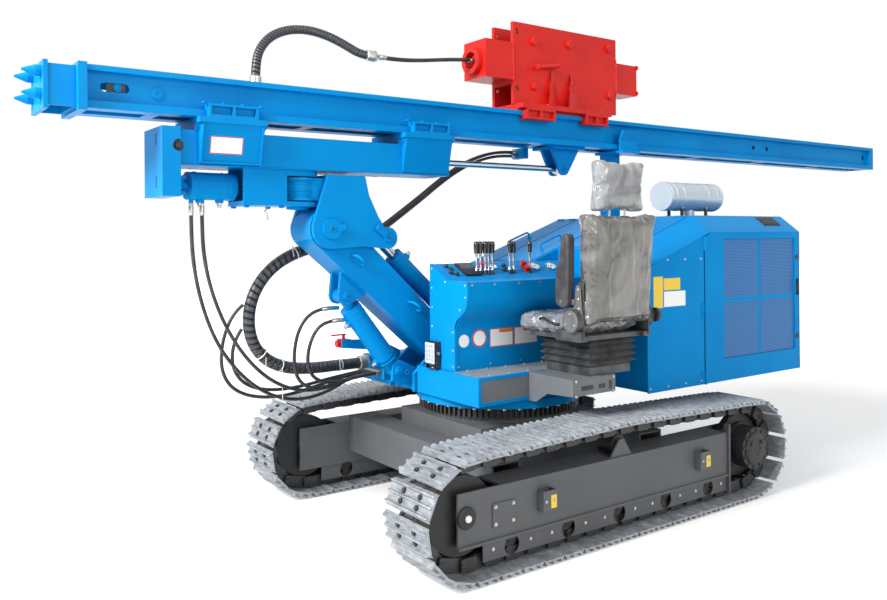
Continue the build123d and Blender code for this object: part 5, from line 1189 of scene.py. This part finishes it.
# mast: shaft in its slot, bosses on the web, chain along its open underside
shape = bmesh.new()
turned(shape, at(2200, -158, 2318), (0, 1, 0), [(0.020, 0.0), (0.020, 0.007), (0.013, 0.009), (0.013, 0.006)], 26)
newPiece("mast_shaft", shape, "blueEnamel", "mast")
# a black plate at the back of the shaft's slot: painted shade
shape = bmesh.new()
block(shape, at(2160, -159.6, 2296), at(2250, -159, 2340))
newPiece("mast_slot_back", shape, "blackEnamel", "mast")
shape = bmesh.new()
for y, out in ((-148, 1), (-372, -1)):
    turned(shape, at(2013, y, 2306), (0, out, 0), [(0.032, -0.001), (0.032, 0.005), (0.028, 0.007), (0.010, 0.007),
                                                   (0.010, 0.003)], 30)
newPiece("mast_bosses", shape, "blueEnamel", "mast", soften=0.0006)
mastLook = {"chainPitch": 0.0508, "chainFrom": -4300.0, "chainTo": 2080.0, "chainZ": 2268.0}
shape = bmesh.new()
pitch = mastLook["chainPitch"]
for y in (-0.021, 0.017):
    outline = []
    for k in range(12):
        a = 2 * pi * k / 12
        outline.append(((pitch / 2 if cos(a) > 0 else -pitch / 2) + 0.020 * cos(a), y, 0.020 * sin(a)))
    extruded(shape, outline, (0, 0.004, 0))
rod(shape, (-pitch / 2, -0.025, 0), (-pitch / 2, 0.025, 0), 0.0125, 10)
mastLink = pattern("mastLink", shape)
count = int((mastLook["chainTo"] - mastLook["chainFrom"]) / 1000 / pitch)
start = at(mastLook["chainFrom"], middleY, mastLook["chainZ"])
spots = [(start + Vector((pitch * i, 0, 0)), (0, 0, 1), (1, 0, 0), 1.0) for i in range(count)]
repeated("mast_chain", mastLink, spots, "chainSteel", "mast")

# hammer: plate bolts, handle bar, corner holes, bolts on the clamps
spots = []
for x, z in ((-447, 2885), (-769, 2903), (-1155, 2925), (-449, 2589), (-785, 2597), (-1161, 2591)):
    for y, out in ((-150, 1), (-370, -1)):
        spots.append((at(x, y, z), (0, out, 0), None, 0.031))
for x0, x1 in ((-567, -316), (-1066, -851)):
    for k in (0.2, 0.8):
        for y in (middleY - 172, middleY + 172):
            spots.append((at(x0 + (x1 - x0) * k, y, 2457), (0, 0, 1), None, 0.012))
spots += [(at(-1478, y, z), (-1, 0, 0), None, 0.016) for z in (2640, 2826) for y in (-340, -180)]
repeated("hammer_bolts", hexBolt, spots, "redEnamel", "hammer", turnSpread=0.5, seed=12)
shape = bmesh.new()
rod(shape, at(-462, -112, 2710), at(-645, -112, 2738), 0.014, 20)
turned(shape, at(-450, -112, 2708), (183, 0, -28), [(0.017, -0.008), (0.019, 0.0), (0.017, 0.008)], 20)
extruded(shape, [at(-520, -150, 2706), at(-640, -150, 2724), at(-640, -112, 2724), at(-520, -112, 2706)],
         (0, 0, 0.008))
newPiece("hammer_handle", shape, "redEnamel", "hammer", soften=0.0012)
# black discs in the corner holes: painted shade inside them
shape = bmesh.new()
for x, z in ((-304, 2925), (-305, 2556), (-1196, 2925)):
    turned(shape, at(x, -149.8, z), (0, 1, 0), [(0.012, 0.0), (0.012, 0.0006)], 18)
newPiece("hammer_holes", shape, "blackEnamel", "hammer")
shape = bmesh.new()
for y in (-148, -372):
    weld(shape, at(-270, y, 2612), at(-270, y, 2854), 0.005, 3)
    weld(shape, at(-1231, y, 2590), at(-1231, y, 2850), 0.005, 5)
newPiece("hammer_welds", shape, "redEnamel", "hammer")

# hose ends: crimped sleeves and hexagon nuts; nylon ties round the wrapped bundle
fittingLook = {"sleeve": 0.050, "grow": 1.28}
for carry in ("upper", "mast"):
    shape = bmesh.new()
    for name, (node, size, route) in routes.items():
        if ("mast" if node == "hose_upper" else "upper") != carry:
            continue
        line, radius = hoseLines[name], hoseLook[size] / 2
        ends = [(line[0], line[3]), (line[-1], line[-4])]
        # the branch hoses start inside the wrapped bundle
        for end, second in ends[1:] if node == "hose_branch" else ends:
            way = (second - end).normalized()
            wide, sleeve = radius * fittingLook["grow"], fittingLook["sleeve"]
            turned(shape, end, way, [(radius * 1.1, 0.0), (wide, 0.003), (wide, sleeve * 0.9),
                                     (radius * 1.03, sleeve)], 18)
            turned(shape, end - way * 0.012, way, [(radius * 1.45, 0.0), (radius * 1.45, 0.014)], 6)
    newPiece("hose_fittings_" + carry, shape, "zincPlate", carry)
shape = bmesh.new()
line, radius = hoseLines["hose_bundle_wrapped"], hoseLook[routes["hose_bundle_wrapped"][1]] / 2
for share, tail in ((0.14, 0.05), (0.52, 0.16), (0.60, 0.22), (0.86, 0.06)):
    i = int(share * (len(line) - 2))
    place, way = line[i], (line[i + 1] - line[i]).normalized()
    collar(shape, place - way * 0.004, way, radius * 0.98, radius * 1.07, 0.008, 28)
    side = (Vector((0, 0, 1)) - way * way.z).normalized() * radius * 1.05
    ends = ((1.0, (0, 0, 0)), (1.3, (0.01, 0.02, 0.0)), (1.2, (0.02, 0.045, -tail * 0.5)), (1.0, (0.02, 0.05, -tail)))
    bentRod(shape, [place + side * out + Vector(shift) for out, shift in ends], 0.0022, 6)
newPiece("hose_ties", shape, "whiteNylon", "upper")

# hook under the carrier's lower box for the hose pair
shape = bmesh.new()
hook = ((1422, 1770), (1424, 1748), (1440, 1740), (1424, 1730), (1420, 1712), (1419, 1694))
bentRod(shape, [at(x, -200, z) for x, z in hook], 0.0035, 8)
newPiece("hose_hook", shape, "zincPlate", "carrier")
print("boom, mast and hammer ready")

# bare yellow plates on the step brackets; black plates behind the front box's slots as painted shade
shape = bmesh.new()
for x in (414, -795):
    block(shape, at(x, 957.1, 262), at(x + 38, 957.6, 326))
    block(shape, at(x, -957.6, 262), at(x + 38, -957.1, 326))
newPiece("step_labels", shape, "labelVinylYellow", "undercarriage")
shape = bmesh.new()
block(shape, at(1994, -362, 2046), at(1996, -342, 2120))
block(shape, at(1994, -350, 1882), at(1996, -318, 1926))
newPiece("front_box_slots", shape, "blackEnamel", "carrier")

# seat: cushions swollen by cloth pressure under their creased packing film
seatLook = {"voxel": 0.006, "roughVoxel": 0.012, "pressure": 4.0, "frames": 20, "cap": 0.020, "shrink": 0.014,
            "edge": 0.018, "slack": 0.003, "hem": 0.045, "hemWidth": 0.009, "hemRise": 0.004, "hemFrom": 0.4,
            "seed": 5}
noise.seed_set(seatLook["seed"])


def swollen(name, low, high, lean, finish, node, folds, seed, taper=0.0):
    # a padded block; lean moves its foot and its top back, taper widens its top and narrows its foot
    # folds: stretch of the creases along X, Y, Z and their height
    shape = bmesh.new()
    lowest = Vector(low) + Vector((seatLook["shrink"],) * 3)
    highest = Vector(high) - Vector((seatLook["shrink"],) * 3)
    block(shape, lowest, highest)
    bmesh.ops.bevel(shape, geom=shape.edges[:], offset=seatLook["edge"], segments=4, affect="EDGES", profile=0.5)
    bmesh.ops.recalc_face_normals(shape, faces=shape.faces)
    mesh = bpy.data.meshes.new(name)
    shape.to_mesh(mesh)
    shape.free()
    piece = bpy.data.objects.new(name, mesh)
    bpy.context.collection.objects.link(piece)
    remesh = piece.modifiers.new("even", "REMESH")
    remesh.mode = "VOXEL"
    remesh.voxel_size = seatLook["voxel"]
    graph = bpy.context.evaluated_depsgraph_get()
    piece.data = bpy.data.meshes.new_from_object(piece.evaluated_get(graph), depsgraph=graph)
    piece.modifiers.clear()
    rest = [v.co.copy() for v in piece.data.vertices]
    cloth = piece.modifiers.new("swell", "CLOTH")
    cloth.settings.use_pressure = True
    cloth.settings.uniform_pressure_force = seatLook["pressure"]
    cloth.settings.effector_weights.gravity = 0.0
    cloth.settings.quality = 4
    cloth.collision_settings.use_collision = False
    cloth.point_cache.frame_start, cloth.point_cache.frame_end = 1, seatLook["frames"]
    scene = bpy.context.scene
    for frame in range(1, seatLook["frames"] + 1):
        scene.frame_set(frame)
    graph = bpy.context.evaluated_depsgraph_get()
    settled = bpy.data.meshes.new_from_object(piece.evaluated_get(graph), depsgraph=graph)
    piece.modifiers.clear()
    piece.data = settled
    scene.frame_set(1)
    mesh = piece.data
    mesh.update()
    size, slack = Vector(high) - Vector(low), seatLook["slack"]
    normals = [v.normal.copy() for v in mesh.vertices]
    for v, start in zip(mesh.vertices, rest):
        move = v.co - start
        if move.length > seatLook["cap"]:
            v.co = start + move.normalized() * seatLook["cap"]
    # the swollen form fills the space that its solid holds
    least = [min(v.co[k] for v in mesh.vertices) for k in range(3)]
    most = [max(v.co[k] for v in mesh.vertices) for k in range(3)]
    for v in mesh.vertices:
        for k in range(3):
            v.co[k] = low[k] + slack + (v.co[k] - least[k]) / (most[k] - least[k]) * (size[k] - 2 * slack)
    for v, normal in zip(mesh.vertices, normals):
        # tension folds in the film: sharp ridges, long one way
        p = Vector((v.co.x * folds[0], v.co.y * folds[1], v.co.z * folds[2]))
        p += noise.noise_vector(v.co * 3.0 + Vector((seed, 0, 0))) * 0.8
        ridge = 1.0 - abs(noise.noise(p + Vector((seed, 3, 7)))) * 2.2
        small = 1.0 - abs(noise.noise(p * 2.3 + Vector((seed, 9, 1)))) * 2.0
        # only a tall piece has a hem
        hem = max(0.0, 1.0 - abs(v.co.z - low[2] - seatLook["hem"]) / seatLook["hemWidth"])
        hem = hem if size.z > seatLook["hemFrom"] else 0.0
        v.co += normal * (max(0.0, ridge) ** 3 * folds[3] + max(0.0,
                                                                small) ** 3 * folds[3] * 0.4 + hem * seatLook["hemRise"])
        for k in range(3):
            v.co[k] = min(max(v.co[k], low[k] - 0.001), high[k] + 0.001)
        share = (v.co.z - low[2]) / size.z
        v.co.y += lean[0] + lean[1] * share
        v.co.x += (v.co.x - (low[0] + high[0]) / 2) * taper * (2 * share - 1)
    shape = bmesh.new()
    shape.from_mesh(mesh)
    bmesh.ops.recalc_face_normals(shape, faces=shape.faces)
    shape.to_mesh(mesh)
    shape.free()
    mesh.materials.clear()
    mesh.materials.append(finishes[finish])
    smoother = piece.modifiers.new("smoother", "SUBSURF")
    smoother.levels = smoother.render_levels = 1
    mesh.shade_smooth()
    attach(piece, "upper")
    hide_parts(node)
    print(name, len(mesh.vertices), "points")


swollen("film_cushion", at(-394, 331, 1059), at(114, 768, 1168), (0.0, 0.0), "filmedVinyl", "seat_cushion",
        (18.0, 18.0, 9.0, 0.008), 3.0)
swollen("film_back", at(-402, 773, 1118), at(122, 892, 1714), (0.0, 0.032), "filmedSeatBack", "seat_back",
        (15.0, 12.0, 2.0, 0.0045), 11.0, taper=0.05)
swollen("film_headrest", at(-322, 763, 1724), at(42, 872, 1998), (0.034, 0.010), "filmedVinyl", "headrest",
        (16.0, 18.0, 5.0, 0.004), 23.0)

# headrest's posts, recliner brackets, latches, folded armrests, pull lever and tilt knob
shape = bmesh.new()
for x in (-200, -80):
    rod(shape, at(x, 855, 1676), at(x, 855, 1760), 0.006, 16)
newPiece("headrest_posts", shape, "hardChrome", "upper")
shape = bmesh.new()
for x in (-200, -80):
    turned(shape, at(x, 855, 1686), (0, 0, 1), [(0.016, 0.0), (0.016, 0.008), (0.010, 0.012)], 20)
for x, out in ((seatX + 297, 1), (seatX - 297, -1)):
    # tilt knob and pull lever
    bentRod(shape, [at(x - out * 14, 700, 1120), at(x + out * 6, 690, 1122), at(x + out * 10, 655, 1130),
                    at(x + out * 10, 610, 1146), at(x + out * 8, 585, 1150), at(x + out * 6, 565, 1141)], 0.008, 12)
turned(shape, at(seatX - 297, 850, 1150), (-1, 0, 0), [(0.036, 0.0), (0.040, 0.004), (0.040, 0.018), (0.030, 0.026)],
       32)
newPiece("seat_levers", shape, "blackPlastic", "upper", soften=0.0006)
shape = bmesh.new()
spots = []
for x, out in ((seatX + 297, 1), (seatX - 297, -1)):
    turned(shape, at(x - out * 0.6, 795, 1145), (out, 0, 0),
           [(0.058, 0.0), (0.058, 0.003), (0.050, 0.006), (0.030, 0.007), (0.026, 0.005)], 40)
    inner = x - out * 38
    outline = [(760, 1120), (840, 1110), (856, 1150), (846, 1220), (838, 1320), (826, 1338), (808, 1334), (800, 1318),
               (796, 1240), (768, 1180)]
    extruded(shape, [at(inner, y, z) for y, z in outline], (out * 0.005, 0, 0))
    for y, z in ((762, 1126), (828, 1126), (795, 1190)):
        spots.append((at(x + out * 2, y, 1145 + (z - 1145) * 0.9), (out, 0, 0), None, 0.006))
    for y, z in ((822, 1312), (824, 1262), (826, 1212)):
        spots.append((at(inner + out * 5, y, z), (out, 0, 0), None, 0.008))
newPiece("recliner_covers", shape, "reclinerGrey", "upper", soften=0.0012)
repeated("recliner_bolts", hexBolt, spots, "zincPlate", "upper")
shape = bmesh.new()
for x, out in ((seatX + 280, 1), (seatX - 280, -1)):
    outline = [(690, 1250), (702, 1226), (736, 1213), (768, 1216), (778, 1240), (788, 1420), (790, 1580), (784, 1602),
               (766, 1610), (748, 1604), (738, 1588), (722, 1500), (694, 1400), (688, 1320)]
    extruded(shape, [at(x - 27, y, z) for y, z in outline], (0.054, 0, 0))
armrests = newPiece("folded_armrests", shape, "armrestVinyl", "upper", soften=0.009)
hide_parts("armrests")
shape = bmesh.new()
for x, out in ((seatX + 280, 1), (seatX - 280, -1)):
    turned(shape, at(x + out * 26.5, 736, 1248), (out, 0, 0),
           [(0.011, 0.0), (0.011, 0.003), (0.006, 0.004), (0.006, 0.002)], 20)
    block(shape, at(x - 10 - out * 20, 752, 1232), at(x + 10 - out * 20, 800, 1260))
newPiece("armrest_pivots", shape, "reclinerGrey", "upper", soften=0.0008)
print("seat ready")

# floor, light
stageLook = {"floor": "#F4F4F2", "size": 80.0, "ambient": 0.64, "keyPower": 950.0, "fillPower": 210.0,
             "whiteFrom": 3.5, "whiteBy": 8.0}
bpy.ops.mesh.primitive_plane_add(size=stageLook["size"], location=(0, 0, -0.001))
floor = bpy.context.object
floor.name = "studio_floor"
floorMaterial, tree, shader, place = newMaterial("paleFloor")
shader.inputs["Base Color"].default_value = fromHex(stageLook["floor"])
shader.inputs["Roughness"].default_value = 0.9
seen = addNode(tree, "ShaderNodeLightPath")
direct = addNode(tree, "ShaderNodeMath", {0: seen.outputs["Is Camera Ray"], 1: seen.outputs["Is Glossy Ray"]},
                 operation="MAXIMUM")
away = addNode(tree, "ShaderNodeVectorMath", {0: place}, operation="LENGTH")
white = addNode(tree, "ShaderNodeMapRange", {"Value": away.outputs["Value"], "From Min": stageLook["whiteFrom"],
                                             "From Max": stageLook["whiteBy"], "To Min": 0.2, "To Max": 1.0})
lift = addNode(tree, "ShaderNodeMath", {0: direct.outputs["Value"], 1: white.outputs["Result"]}, operation="MULTIPLY")
tree.links.new(lift.outputs["Value"], shader.inputs["Emission Strength"])
shader.inputs["Emission Color"].default_value = (1, 1, 1, 1)
floor.data.materials.append(floorMaterial)

world = bpy.data.worlds.new("studio")
world.use_nodes = True
bpy.context.scene.world = world
tree = world.node_tree
tree.nodes.clear()
seen = addNode(tree, "ShaderNodeLightPath")
direct = addNode(tree, "ShaderNodeMath", {0: seen.outputs["Is Camera Ray"], 1: seen.outputs["Is Glossy Ray"]},
                 operation="MAXIMUM")
clear = addNode(tree, "ShaderNodeMath", {0: direct.outputs["Value"], 1: seen.outputs["Is Transmission Ray"]},
                operation="MAXIMUM")
level = addNode(tree, "ShaderNodeMapRange", {"Value": clear.outputs["Value"], "To Min": stageLook["ambient"],
                                             "To Max": 1.0})
sky = addNode(tree, "ShaderNodeBackground", {"Color": (1, 1, 1, 1), "Strength": level.outputs["Result"]})
addNode(tree, "ShaderNodeOutputWorld", {"Surface": sky.outputs["Background"]})


def addLamp(name, place, aim, size, power):
    lamp = bpy.data.lights.new(name, "AREA")
    lamp.shape = "DISK"
    lamp.size = size
    lamp.energy = power
    holder = bpy.data.objects.new(name, lamp)
    holder.location = place
    holder.rotation_euler = (Vector(aim) - Vector(place)).to_track_quat("-Z", "Y").to_euler()
    bpy.context.collection.objects.link(holder)


addLamp("keyLamp", (8.5, 0.9, 5.4), (0.6, 0, 1.2), 3.0, stageLook["keyPower"])
addLamp("fillLamp", (1.0, 9.0, 4.5), (0, 0, 1.2), 4.0, stageLook["fillPower"])
print("stage ready")

for piece in patterns:
    bpy.data.objects.remove(piece)
